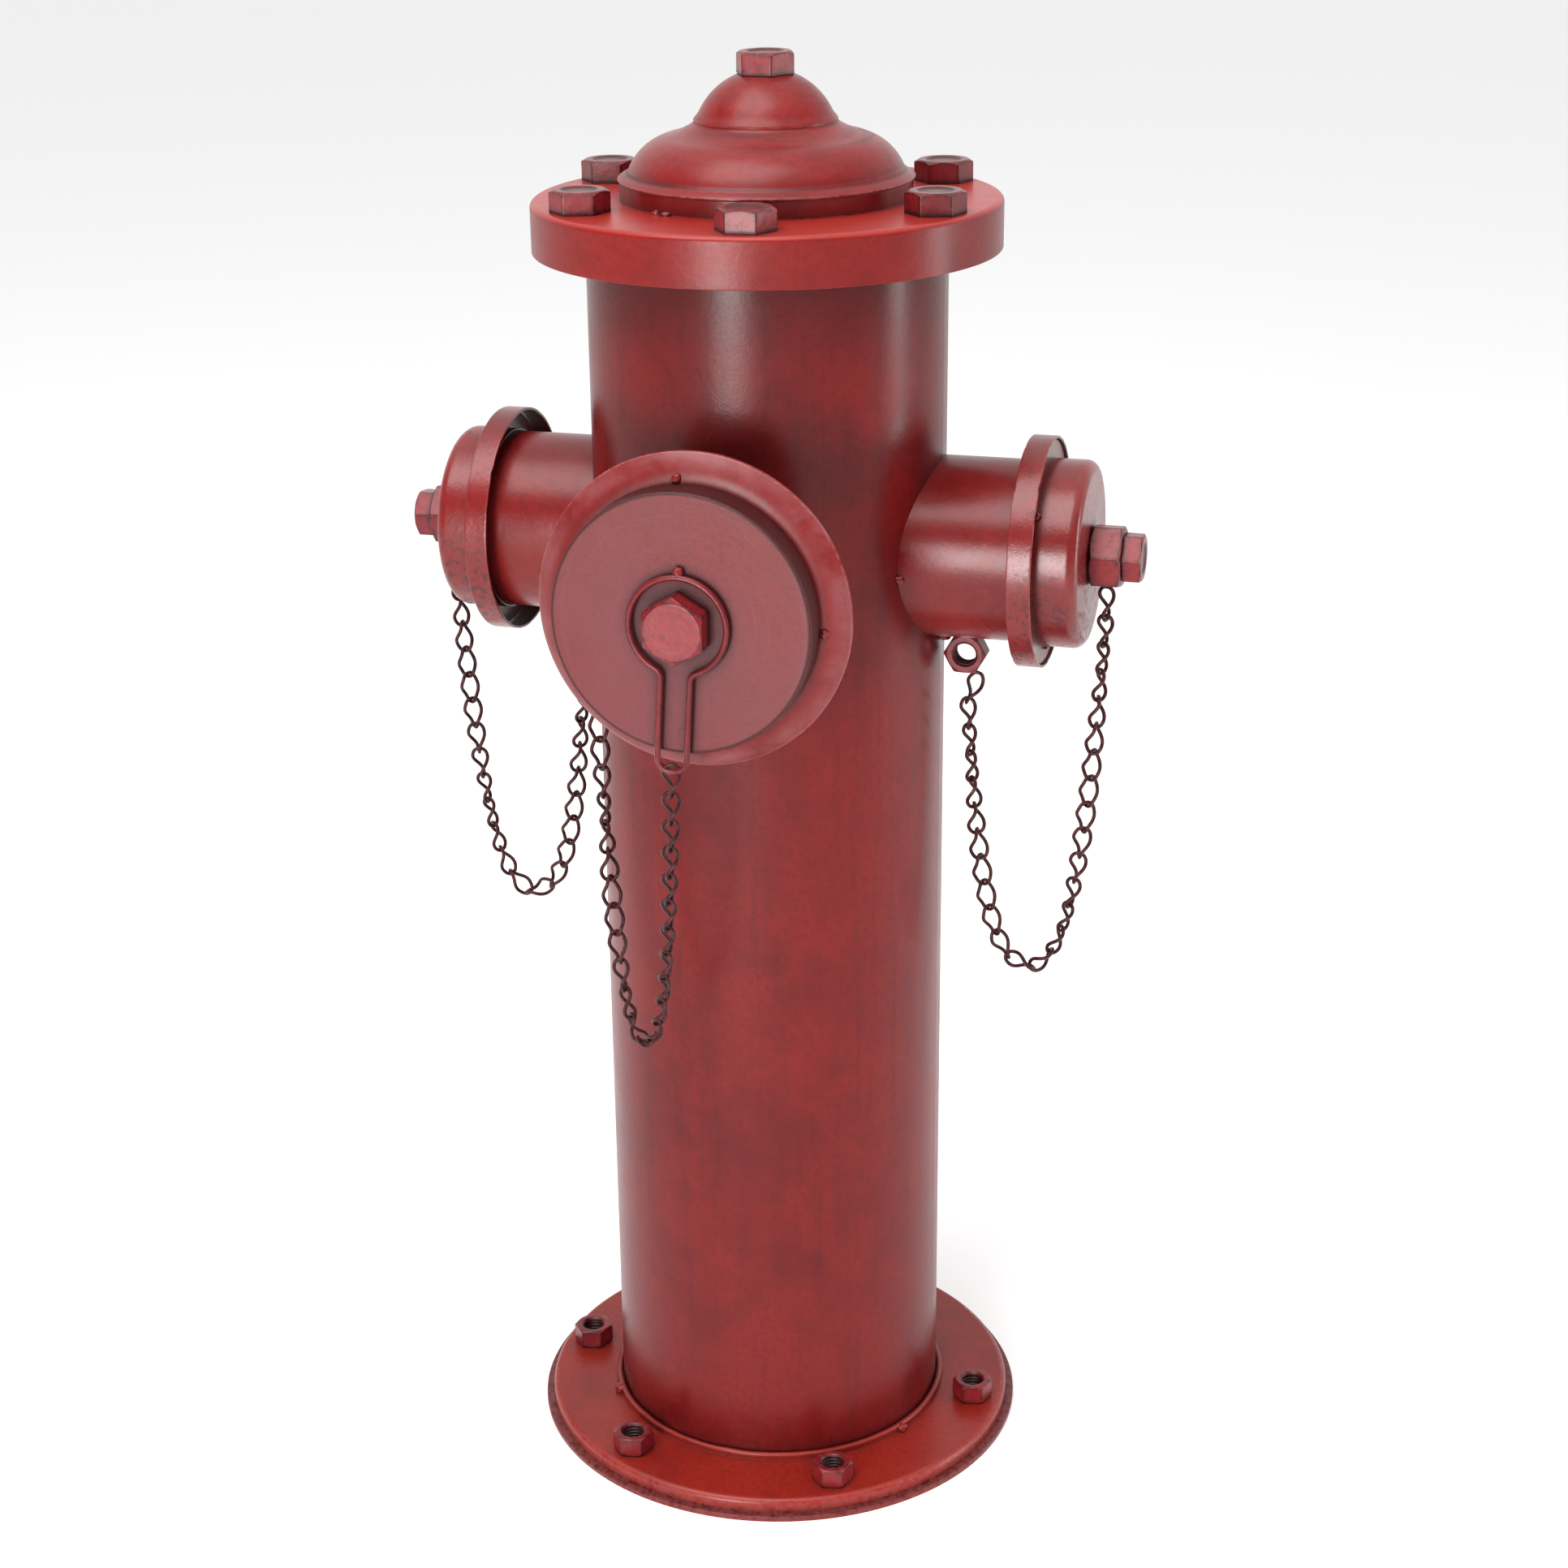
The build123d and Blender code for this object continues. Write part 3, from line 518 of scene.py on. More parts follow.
class Paint:
    """Material built from noise, worn edges and recesses, with painted shade in the recesses."""

    def __init__(self, name):
        self.material = bpy.data.materials.new(name)
        self.material.use_nodes = True
        self.tree = self.material.node_tree
        self.shader = self.tree.nodes["Principled BSDF"]
        self.place = self.tree.nodes.new("ShaderNodeTexCoord").outputs["Object"]

    def node(self, kind, *values, **settings):
        made = self.tree.nodes.new("ShaderNode" + kind)
        for key, value in settings.items():
            setattr(made, key, value)
        for socket, value in zip(made.inputs, values):
            self.put(socket, value)
        return made

    def put(self, socket, value):
        if value is None:
            return
        if isinstance(value, bpy.types.NodeSocket):
            self.tree.links.new(value, socket)
        else:
            socket.default_value = value

    def maths(self, operation, a, b=0.0, clamp=False):
        return self.node("Math", a, b, operation=operation, use_clamp=clamp).outputs[0]

    def add(self, a, b):
        return self.maths("ADD", a, b, True)

    def times(self, a, b):
        return self.maths("MULTIPLY", a, b)

    def noise(self, scale, detail=3.0, stretch=None, roughness=0.55, distortion=0.0):
        place = self.place
        if stretch:
            place = self.node("VectorMath", place, stretch, operation="MULTIPLY").outputs[0]
        made = self.node("TexNoise")
        self.put(made.inputs["Vector"], place)
        for key, value in (("Scale", scale), ("Detail", detail), ("Roughness", roughness)):
            self.put(made.inputs[key], value)
        self.put(made.inputs["Distortion"], distortion)
        return made.outputs["Fac"]

    def between(self, value, low, high):
        """Smooth step from 0 at low to 1 at high."""
        made = self.node("MapRange", value, low, high, 0.0, 1.0, interpolation_type="SMOOTHSTEP")
        return made.outputs[0]

    def mix(self, share, a, b, kind="MIX"):
        made = self.tree.nodes.new("ShaderNodeMix")
        made.data_type = "RGBA"
        made.blend_type = kind
        for index, value in ((0, share), (6, a), (7, b)):
            if isinstance(value, tuple):
                value = (*value, 1.0)
            self.put(made.inputs[index], value)
        return made.outputs[2]

    def mark(self, name):
        return self.node("Attribute", attribute_name=name).outputs["Fac"]

    def recess(self, distance, samples=4):
        """1 deep in a corner between any pieces, 0 in the open: the mask for painted shade in corners."""
        made = self.node("AmbientOcclusion", samples=samples)
        self.put(made.inputs["Distance"], distance)
        return self.maths("SUBTRACT", 1.0, made.outputs["AO"], True)

    def parts(self):
        made = self.node("SeparateXYZ", self.place)
        return made.outputs

    def radius(self, a, b):
        return self.maths("SQRT", self.maths("ADD", self.times(a, a), self.times(b, b)))


def aged_paint(
    name,
    light,
    deep,
    wash=(0.012, 0.004, 0.005),
    worn=(0.30, 0.075, 0.07),
    rough=0.31,
    wash_and_shade_share=0.72,
    worn_share=0.6,
    shine=0.25,
    speckle=0.35,
    streaks=0.0,
    recess=0.012,
    bump=0.5,
    dulling=0.1,
    extra=None,
    tint=None,
    edge=None,
):
    """Red paint rubbed over with a dark wash that stays in the recesses, and painted shade darkening the same
    recesses.
    """
    paint = Paint(name)
    broad = paint.noise(7.0, 4.0, roughness=0.6)
    cloud = paint.noise(38.0, 5.0, roughness=0.62, distortion=0.4)
    grain = paint.noise(330.0, 4.0, roughness=0.65)
    fine = paint.noise(1400.0, 2.0)
    tone = paint.add(paint.times(broad, 0.55), paint.times(cloud, 0.45))
    colour = paint.mix(paint.between(tone, 0.28, 0.6), deep, light)
    colour = paint.mix(paint.times(paint.between(grain, 0.42, 0.64), 0.35), colour, deep)
    if streaks:
        brushed = paint.noise(5.0, 5.0, (30.0, 30.0, 1.6), 0.7)
        colour = paint.mix(paint.times(paint.between(brushed, 0.46, 0.7), streaks), colour, wash)
    if tint:
        share, tinted = tint(paint, cloud, grain)
        colour = paint.mix(share, colour, tinted)
    # Painted shade: corners between pieces (found by the AO node), creases and the darkened points of each shape are
    # darkened, together with the dark wash that settles there.
    corner = paint.times(paint.recess(recess), paint.add(0.55, cloud))
    shade_and_wash = paint.add(paint.mark("crease_wash_and_shade"), paint.times(paint.mark("shade_and_wash"), paint.add(0.75, paint.times(cloud, 0.5))))
    dark = paint.between(paint.add(corner, shade_and_wash), 0.16, 0.85)
    dots = paint.times(paint.between(grain, 0.54, 0.66), paint.between(cloud, 0.48, 0.68))
    dark = paint.add(dark, paint.times(dots, speckle))
    if extra:
        dark = paint.add(dark, extra(paint, cloud, grain))
    # Dark wash together with painted shade: the whole dark mask is mixed towards the wash colour.
    colour = paint.mix(paint.times(dark, wash_and_shade_share), colour, wash)
    rim = paint.mark("wear")
    if edge:
        rim = paint.add(rim, edge(paint))
    rubbed = paint.times(rim, paint.between(grain, 0.34, 0.6))
    colour = paint.mix(paint.times(rubbed, worn_share), colour, worn)
    paint.put(paint.shader.inputs["Base Color"], colour)
    gloss = paint.add(rough - 0.08, paint.times(cloud, 0.17))
    gloss = paint.maths("ADD", gloss, paint.times(dark, dulling))
    paint.put(paint.shader.inputs["Roughness"], gloss)
    paint.shader.inputs["Metallic"].default_value = 0.0
    paint.shader.inputs["IOR"].default_value = 1.5
    paint.shader.inputs["Specular IOR Level"].default_value = shine
    height = paint.add(paint.times(grain, 0.3), paint.times(fine, 0.12))
    height = paint.add(height, paint.times(cloud, 0.5))
    made = paint.node("Bump")
    made.inputs["Strength"].default_value = bump
    made.inputs["Distance"].default_value = 0.0004
    paint.put(made.inputs["Height"], height)
    paint.put(paint.shader.inputs["Normal"], made.outputs[0])
    return paint.material


RED_LIGHT = (0.165, 0.0085, 0.0080)
RED_DEEP = (0.090, 0.0045, 0.0050)

# Places in metres that the washes, the tints and the painted light and shade are laid on
NOZZLE_LEVEL = NOZZLE_HEIGHT * MM
FLANGE_LOW = span("flange_pan")[0].z * MM
FLANGE_TOP = span("flange_pan")[1].z * MM
FOOT_TOP = span("foot_ring")[1].z * MM
BASE_PLATE_TOP = span("base_plate")[1].z * MM
BASE_FLANGE_RADIUS = span("base_flange")[1].x * MM
FRONT_FACE = drum_low.y * MM


def barrel_wash_and_shade(paint, cloud, grain):
    """Dark wash together with painted shade under the flange, round the nozzles and at the foot."""
    x, y, z = paint.parts()
    uneven = paint.times(paint.maths("SUBTRACT", cloud, 0.5), 0.03)
    height = paint.maths("ADD", z, uneven)
    under = paint.between(height, FLANGE_LOW - 0.055, FLANGE_LOW + 0.012)
    foot = paint.between(height, FOOT_TOP + 0.035, FOOT_TOP - 0.012)
    centre_height = paint.maths("SUBTRACT", z, NOZZLE_LEVEL)
    front_side = paint.between(y, 0.0, -0.02)
    ring = paint.maths("ADD", paint.radius(x, centre_height), uneven)
    above = paint.between(centre_height, 0.02, 0.06)
    front = paint.times(paint.times(paint.between(ring, 0.108, 0.07), front_side), paint.add(0.06, above))
    side_ring = paint.maths("ADD", paint.radius(y, centre_height), uneven)
    flanks = paint.times(paint.between(side_ring, 0.06, 0.04), paint.between(paint.maths("ABSOLUTE", x), 0.05, 0.07))
    total = paint.add(paint.times(under, 0.8), paint.times(foot, 0.5))
    return paint.add(total, paint.add(paint.times(front, 0.6), paint.times(flanks, 0.12)))


def low_wash(paint, cloud, grain):
    """Black specks thrown over the lower half of the side caps."""
    x, y, z = paint.parts()
    low = paint.between(z, NOZZLE_LEVEL + 0.035, NOZZLE_LEVEL - 0.025)
    flecks = paint.between(paint.noise(300.0, 4.0, roughness=0.75), 0.5, 0.6)
    patch = paint.between(paint.noise(30.0, 3.0), 0.34, 0.5)
    return paint.times(paint.times(flecks, patch), low)


def contact_shadow(paint, cloud, grain):
    """Painted shadow: black line beside the wire and bolt that lie on a face."""
    return paint.times(paint.between(paint.recess(0.006, 6), 0.10, 0.42), 0.9)


def turned_wash(paint, cloud, grain):
    """Dark wash left in faint rings by a turning brush."""
    rings = paint.noise(3.0, 5.0, (4.0, 4.0, 70.0), 0.65)
    return paint.times(paint.between(rings, 0.5, 0.72), paint.add(0.3, paint.times(cloud, 0.6)))


def flange_top_painted_light(paint, cloud, grain):
    """Painted light: brighter, redder paint on the flange's upper face, where the top light falls."""
    x, y, z = paint.parts()
    upper = paint.between(z, FLANGE_TOP - 0.0022, FLANGE_TOP - 0.0004)
    return paint.times(upper, paint.add(0.5, cloud)), (0.265, 0.017, 0.012)


def dish_wear_and_sheen(paint, cloud, grain):
    """Rubbed, lighter paint on the dish's shoulder, together with a painted pinkish sheen."""
    x, y, z = paint.parts()
    ring = paint.radius(x, paint.maths("SUBTRACT", z, NOZZLE_LEVEL))
    shoulder = paint.between(ring, 0.0605, 0.0665)
    return paint.times(shoulder, paint.between(cloud, 0.28, 0.65)), (0.175, 0.042, 0.045)


def face_rubbing_and_reflection(paint, cloud, grain):
    """Pinker, drier paint on the flat face of the front cap, with faint turning marks; the pinker tone is partly a
    painted reflection.
    """
    x, y, z = paint.parts()
    ring = paint.radius(x, paint.maths("SUBTRACT", z, NOZZLE_LEVEL))
    face = paint.between(y, FRONT_FACE + 0.0012, FRONT_FACE + 0.0002)
    inside = paint.between(ring, 0.0578, 0.0560)
    sweep = paint.node("CombineXYZ", ring, paint.times(x, 0.05), 0.0).outputs[0]
    marks = paint.node("TexNoise")
    paint.put(marks.inputs["Vector"], sweep)
    marks.inputs["Scale"].default_value = 900.0
    marks.inputs["Detail"].default_value = 2.0
    scratch = paint.times(paint.between(marks.outputs["Fac"], 0.56, 0.7), 0.5)
    rubbed = paint.between(paint.noise(16.0, 4.0, (1.0, 1.0, 0.6), 0.6), 0.3, 0.68)
    share = paint.add(paint.add(0.2, paint.times(rubbed, 0.75)), scratch)
    return paint.times(paint.times(face, inside), share), (0.120, 0.020, 0.024)


def seam_wash_and_shade(paint, cloud, grain):
    """Black line in the seam between the base's two discs: dark wash together with painted shade under the flange's
    rounded edge.
    """
    x, y, z = paint.parts()
    away = paint.maths("ABSOLUTE", paint.maths("SUBTRACT", z, BASE_PLATE_TOP))
    outer = paint.between(paint.radius(x, y), BASE_FLANGE_RADIUS - 0.004, BASE_FLANGE_RADIUS - 0.002)
    return paint.times(paint.between(away, 0.0014, 0.0004), outer)


def base_edge(paint):
    """Worn line round the base flange's rounded edge."""
    x, y, z = paint.parts()
    ring = paint.radius(x, y)
    flange = paint.between(ring, BASE_FLANGE_RADIUS - 0.0028, BASE_FLANGE_RADIUS - 0.0008)
    return paint.times(flange, 0.5)


PAINTS = {
    "barrel": aged_paint(
        "aged_red_barrel", (0.15, 0.0068, 0.0066), (0.085, 0.0038, 0.0042),
        speckle=0.15, streaks=0.2, recess=0.014, shine=0.22, dulling=-0.08, extra=barrel_wash_and_shade,
    ),
    "red": aged_paint("aged_red_sheet", RED_LIGHT, RED_DEEP, rough=0.28, shine=0.3),
    "face": aged_paint(
        "rubbed_red_face_painted_reflection", (0.13, 0.007, 0.006), (0.07, 0.004, 0.004), speckle=0.25, rough=0.38, tint=face_rubbing_and_reflection,
        extra=contact_shadow,
    ),
    "flange": aged_paint(
        "aged_red_flange", (0.175, 0.0085, 0.007), (0.10, 0.005, 0.005), speckle=0.2, tint=flange_top_painted_light
    ),
    "bonnet": aged_paint(
        "aged_red_bonnet", (0.175, 0.0095, 0.009), RED_DEEP, speckle=0.25, worn_share=0.5, extra=turned_wash
    ),
    "dish": aged_paint("aged_red_dish", RED_LIGHT, RED_DEEP, speckle=0.5, worn_share=0.8, tint=dish_wear_and_sheen),
    "cap": aged_paint(
        "aged_red_cap", RED_LIGHT, RED_DEEP,
        speckle=0.8, worn_share=0.75, rough=0.25, shine=0.4, bump=0.8, extra=low_wash,
    ),
    "base": aged_paint(
        "aged_red_base", (0.22, 0.014, 0.008), (0.125, 0.007, 0.006), speckle=0.25, extra=seam_wash_and_shade, edge=base_edge
    ),
    "fastener": aged_paint(
        "dark_red_fastener", (0.19, 0.012, 0.015), (0.09, 0.0055, 0.0075),
        recess=0.006, speckle=0.7, worn_share=0.8, worn=(0.010, 0.004, 0.005), rough=0.3, shine=0.32,
    ),
    "clip": aged_paint(
        "dark_red_clip", (0.13, 0.012, 0.014), (0.05, 0.005, 0.007), recess=0.004, rough=0.26, extra=contact_shadow
    ),
    "chain": aged_paint(
        "dark_chain_steel", (0.020, 0.003, 0.004), (0.006, 0.0015, 0.002),
        recess=0.002, speckle=0.4, worn=(0.13, 0.025, 0.025), worn_share=0.5, rough=0.3, shine=0.2,
    ),
    "inner": aged_paint("dull_inner_steel", (0.04, 0.012, 0.012), (0.02, 0.007, 0.007), rough=0.5),
}


# ---------------------------------------------------------------- pieces


def mark_wear(mesh, gain=1.0, spread=0):
    """Stores how far each vertex lies on an outward edge (wear) or in an inward one, where dark wash together with
    painted shade is laid in the crease.
    """
    count = len(mesh.vertices)
    places = np.zeros(count * 3)
    normals = np.zeros(count * 3)
    edges = np.zeros(len(mesh.edges) * 2, dtype=np.int64)
    mesh.vertices.foreach_get("co", places)
    mesh.vertex_normals.foreach_get("vector", normals)
    mesh.edges.foreach_get("vertices", edges)
    places, normals, edges = places.reshape(-1, 3), normals.reshape(-1, 3), edges.reshape(-1, 2)
    a, b = edges[:, 0], edges[:, 1]
    run = places[b] - places[a]
    length = np.maximum(np.linalg.norm(run, axis=1), 1e-9)
    run = run / length[:, None]
    rise = np.zeros(count)
    degree = np.zeros(count)
    np.add.at(rise, a, (normals[a] * run).sum(1))
    np.add.at(rise, b, -(normals[b] * run).sum(1))
    np.add.at(degree, a, 1)
    np.add.at(degree, b, 1)
    rise = rise / np.maximum(degree, 1)
    for name, value in (("wear", -rise), ("crease_wash_and_shade", rise)):
        level = np.clip((value * gain - 0.05) / 0.16, 0, 1)
        for _ in range(spread):
            wider = level.copy()
            np.maximum.at(wider, a, 0.8 * level[b])
            np.maximum.at(wider, b, 0.8 * level[a])
            level = wider
        attribute = mesh.attributes.new(name, "FLOAT", "POINT")
        attribute.data.foreach_set("value", level.astype(np.float32))


def piece(name, shape, paint, body, nodes=(), bevel=0.0, sharp=40, wear=1.0):
    """Blender object from a shape, with its material, body and the CAD nodes it stands for."""
    mesh = bpy.data.meshes.new(name)
    mesh.from_pydata([Vector(p) * MM for p in shape.points], [], shape.faces)
    mesh.attributes.new("shade_and_wash", "FLOAT", "POINT").data.foreach_set("value", shape.shade_and_wash)
    work = bmesh.new()
    work.from_mesh(mesh)
    bmesh.ops.remove_doubles(work, verts=work.verts, dist=1e-7)
    bmesh.ops.recalc_face_normals(work, faces=work.faces)
    if bevel:
        edges = [e for e in work.edges if len(e.link_faces) == 2 and e.calc_face_angle(0) > math.radians(28)]
        bmesh.ops.bevel(
            work, geom=edges, offset=bevel * MM, offset_type="OFFSET", segments=2, profile=0.6,
            affect="EDGES", clamp_overlap=True,
        )
    work.to_mesh(mesh)
    work.free()
    mesh.polygons.foreach_set("use_smooth", [True] * len(mesh.polygons))
    mesh.set_sharp_from_angle(angle=math.radians(sharp))
    if paint == "fastener":
        mark_wear(mesh, gain=3.2, spread=1)
    else:
        mark_wear(mesh, wear)
    mesh.materials.append(PAINTS[paint])
    made = bpy.data.objects.new(name, mesh)
    bpy.context.scene.collection.objects.link(made)
    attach(made, body)
    if nodes:
        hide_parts(*nodes)
    return made


def finished(node, shape, paint, **settings):
    """Detailed piece that stands for one CAD node."""
    return piece(node + "_finished", shape, paint, body_of_node[node], (node,), **settings)


def repaint(paint, *nodes):
    """New material for CAD nodes whose shape stays."""
    for node in nodes:
        mesh = frame["nodes"][node].data
        mesh.materials.clear()
        mesh.materials.append(PAINTS[paint])


def arc(a, b, c, steps=12):
    """Points on the circle through three points of a profile, from a to c."""
    (ax, ay), (bx, by), (cx, cy) = a, b, c
    d = 2 * (ax * (by - cy) + bx * (cy - ay) + cx * (ay - by))
    sa, sb, sc = ax * ax + ay * ay, bx * bx + by * by, cx * cx + cy * cy
    middle = Vector((
        (sa * (by - cy) + sb * (cy - ay) + sc * (ay - by)) / d,
        (sa * (cx - bx) + sb * (ax - cx) + sc * (bx - ax)) / d,
    ))
    first, last = Vector(a) - middle, Vector(c) - middle
    turn = first.angle_signed(last)
    radius = first.length
    start = math.atan2(first.y, first.x)
    angles = [start - turn * k / steps for k in range(steps + 1)]
    return [(middle.x + radius * math.cos(a), middle.y + radius * math.sin(a)) for a in angles]


def wall(outside, thickness):
    """Closed outline of sheet metal whose outer side is the given run of points."""
    inner = []
    for i, point in enumerate(outside):
        behind = Vector(outside[max(i - 1, 0)])
        ahead = Vector(outside[min(i + 1, len(outside) - 1)])
        run = (ahead - behind).normalized()
        inner.append((point[0] - run.y * thickness, point[1] + run.x * thickness))
    return list(outside) + list(reversed(inner))


def bonnet_shape():
    """Spun bell with a stepped upper dome, open at the crown for its bolt."""
    low, high = span("bonnet")
    base, brim = low.z, high.x
    shoulder, slope, waist = (62.6, base + 4.0), (46.6, base + 19.0), (33.5, base + 24.3)
    flare, crown = (29.9, base + 30.0), (13.0, high.z)
    outside = [(brim - 0.5, base), (brim, base + 0.5), (brim, base + 1.0), (brim - 0.6, base + 1.6)]
    outside += [(64.6, base + 2.8)]
    outside += arc(shoulder, (57.6, base + 12.0), slope, 16)
    outside += arc(slope, (37.9, base + 21.9), waist, 10)[1:]
    outside += [(32.75, base + 25.0), (32.5, base + 25.5), (32.55, base + 26.3), (32.2, base + 27.0)]
    outside += [(31.4, base + 27.9), (30.6, base + 28.9)]
    outside += arc(flare, (25.8, base + 36.3), crown, 16)
    outside += [(10.5, high.z), (8.2, high.z)]
    return lathe(wall(outside, 1.5), 224)


def band_shape(side):
    """Outer band of a side cap, a little uneven at its edges."""
    radius, start, end = reach(side + "_cap_band", side)
    thickness = 1.2
    corners = [
        (radius, start, 0.35), (radius, end, 0.45), (radius - thickness, end, 0.3), (radius - thickness, start, 0.3)
    ]
    shape = lathe(rounded(corners, 3, 2.2, 0.7), 224)
    middle = (start + end) / 2
    seed = Vector((3.0, 8.0, 1.0)) if side == "left" else Vector((1.0, 2.0, 7.0))

    def change(p):
        across = Vector((p.x, p.y, 0))
        nick = max(0.0, noise.noise(across / 6.0 + seed)) ** 2
        inward = 0.35 * (0.5 + 0.5 * noise.noise(across / 21.0 + seed)) + 0.9 * nick
        share = (p.z - middle) / (end - start) * 2
        dent = 0.22 * (0.5 + 0.5 * noise.noise(p / 17.0 + seed))
        return Vector((0, 0, -math.copysign(inward * abs(share) ** 3, share))) - across.normalized() * dent

    return shape.bent(change)


def disc_shape(side):
    radius, start, end = reach(side + "_cap_disc", side)
    inner = reach(side + "_cap_drum", side)[0]
    corners = [(radius, start, 0.3), (radius, end, 0.4), (inner, end, 0), (inner, start, 0)]
    return dented(lathe(rounded(corners, 3, 2.5, 0.6), 192), 14.0, 0.12)


def drum_shape(node, side, edge, hole, thickness=1.2, dent=0.28):
    """Closed cup with a hole for its bolt."""
    radius, start, end = reach(node, side)
    corners = [
        (radius, start, 0.3), (radius, end, edge), (hole, end, 0.2), (hole, end - thickness, 0.2),
        (radius - thickness, end - thickness, max(edge - thickness, 0.3)), (radius - thickness, start, 0.3),
    ]
    return dented(lathe(rounded(corners, 7, 4.0, 1.0), 224), 26.0, dent)


def dish_shape():
    """Dished ring behind the front cap."""
    radius, start, end = reach("front_cap_dish", "front")
    pipe, drum = 50.85, reach("front_cap_drum", "front")[0]
    shoulder = (radius, start + 2.5)
    outside = [(radius - 0.4, start), (radius, start + 0.5), (radius, start + 1.4)]
    outside += arc(shoulder, (radius - 4.9, end - 2.0), (drum + 0.6, end), 14)
    outside += [(drum - 1.0, end), (54.0, end), (pipe, end)]
    return dented(lathe(wall(outside, 1.2), 256), 30.0, 0.25)


def flange_shape():
    """Spun pan of the top flange."""
    low, high = span("flange_pan")
    radius, thickness = high.x, 1.5
    corners = [
        (radius, low.z, 0.4), (radius, high.z, 2.5), (20.0, high.z, 0.3), (20.0, high.z - thickness, 0.3),
        (radius - thickness, high.z - thickness, 1.0), (radius - thickness, low.z, 0.4),
    ]
    return dented(lathe(rounded(corners, 7, 4.0, 1.5), 256), 40.0, 0.22)


def ring_shape(node, thickness, edge):
    """Plain upright ring or band on the barrel's axis."""
    low, high = span(node)
    corners = [
        (high.x, low.z, 0), (high.x, high.z, edge), (high.x - thickness, high.z, edge), (high.x - thickness, low.z, 0)
    ]
    return lathe(rounded(corners, 5, 2.5, 0.5), 256)


def make_base():
    repaint("base", "base_plate", "base_flange")
    repaint("barrel", "barrel")
    foot = ring_shape("foot_ring", 3.0, 1.35)
    foot.bent(lambda p: Vector((0, 0, -0.5 * (0.5 + 0.5 * noise.noise(p / 9.0)) * max(0, p.z - 11) / 2.5)))
    finished("foot_ring", foot, "base")
    nuts = Shape()
    for points in solids("base_nuts"):
        nuts.join(nut(points, UP, 6.0, 1.75))
    finished("base_nuts", nuts, "fastener", bevel=0.18)


def make_top():
    finished("flange_pan", flange_shape(), "flange")
    repaint("red", "flange_underplate")
    heads = Shape()
    for points in solids("flange_bolts"):
        heads.join(bolt(points, UP, 8.0))
    finished("flange_bolts", heads, "fastener", bevel=0.2)
    finished("bonnet_seat", ring_shape("bonnet_seat", 1.5, 0.3), "red")
    finished("bonnet", dented(bonnet_shape(), 22.0, 0.2), "bonnet")
    finished("top_bolt", bolt(solids("top_bolt")[0], UP, 8.0), "fastener", bevel=0.2)
    repaint("inner", "top_bolt_nut")


def make_front():
    repaint("red", "front_pipe")
    repaint("inner", "front_crossbar", "front_crossbar_nut")
    repaint("clip", "front_clip")
    place = outward(FRONT, NOZZLE_CENTRE)
    finished("front_cap_dish", dish_shape().moved(place), "dish")
    drum = drum_shape("front_cap_drum", "front", 1.0, 9.3, dent=0.2)
    radius, back, face = reach("front_cap_drum", "front")
    # Painted shade: the drum's side wall and a line round the face's rounded edge are painted dark.
    drum.darkened(lambda away, height: 1.0 if away > radius - 1.6 and height > face - 1.2 else 0.0)
    drum.darkened(lambda away, height: 0.9 if away > radius - 0.6 else 0.0)
    finished("front_cap_drum", drum.moved(place), "face")
    finished("front_bolt", bolt(solids("front_bolt")[0], FRONT, 9.0, 0.05), "fastener", bevel=0.25)
    finished("front_anchor_nut", nut(solids("front_anchor_nut")[0], FRONT, 6.0, 1.75), "fastener", bevel=0.18)


def make_side(side):
    direction = NOZZLES[side]
    repaint("red", side + "_pipe")
    repaint("inner", side + "_crossbar", side + "_crossbar_nut")
    place = outward(direction, NOZZLE_CENTRE)
    finished(side + "_cap_band", band_shape(side).moved(place), "cap")
    finished(side + "_cap_disc", disc_shape(side).moved(place), "cap")
    drum = drum_shape(side + "_cap_drum", side, 5.0, 7.3)
    finished(side + "_cap_drum", drum.moved(place), "cap")
    spacer = nut(solids(side + "_cap_spacer_nut")[0], direction, 9.0, 2.5)
    finished(side + "_cap_spacer_nut", spacer, "fastener", bevel=0.25)
    finished(side + "_cap_bolt", bolt(solids(side + "_cap_bolt")[0], direction, 7.0), "fastener", bevel=0.2)
    finished(side + "_anchor_nut", nut(solids(side + "_anchor_nut")[0], FRONT, 6.0, 1.75), "fastener", bevel=0.18)


def make_chains():
    turns = {"right": (6.5, 18, -1, 0, 7), "left": (5.0, 18, -1, 0, -9), "front": (15.6, 27, 12.6, 5, 0)}
    for side, (open_at, drift, calm, slow, lean) in turns.items():
        chain, ends = curb_chain(
            side, open_at, math.radians(drift), calm, math.radians(slow), math.radians(lean)
        )
        finished(side + "_chain", chain, "chain")
        for node, shape in ends.items():
            finished(node, shape, "chain")


def make_side_tacks(side, angles):
    """Tacks between band and drum of a side cap, at its pipe's root and over its anchor nut."""
    radius = reach(side + "_cap_drum", side)[0]
    face = reach(side + "_cap_disc", side)[2]
    place = outward(NOZZLES[side], NOZZLE_CENTRE)
    cap = Shape()
    for k, angle in enumerate(angles):
        a = math.radians(angle)
        centre = place @ Vector(((radius + 0.4) * math.cos(a), (radius + 0.4) * math.sin(a), face + 0.5))
        cap.join(lump(centre, NOZZLES[side], 1.9, 1.7, 30 + k))
    piece(side + "_cap_weld_tacks", cap, "cap", side + "_cap", wear=0.3)
    pipe = reach(side + "_pipe", side)[0]
    barrel = span("barrel")[1].x
    way = NOZZLES[side][0]
    a = math.radians(187)
    across, rise = pipe * math.cos(a), pipe * math.sin(a)
    x = math.sqrt(barrel**2 - across**2)
    root = lump((way * (x + 1.0), across, NOZZLE_HEIGHT + rise), (way * 0.6, -0.8, 0), 2.3, 1.8, 40)
    root.join(lump((way * (barrel + 1.5), 0, NOZZLE_HEIGHT - pipe - 0.4), (way * 0.5, 0, -0.9), 4.2, 4.0, 47))
    piece(side + "_root_weld_tacks", root, "red", "root", wear=0.3)


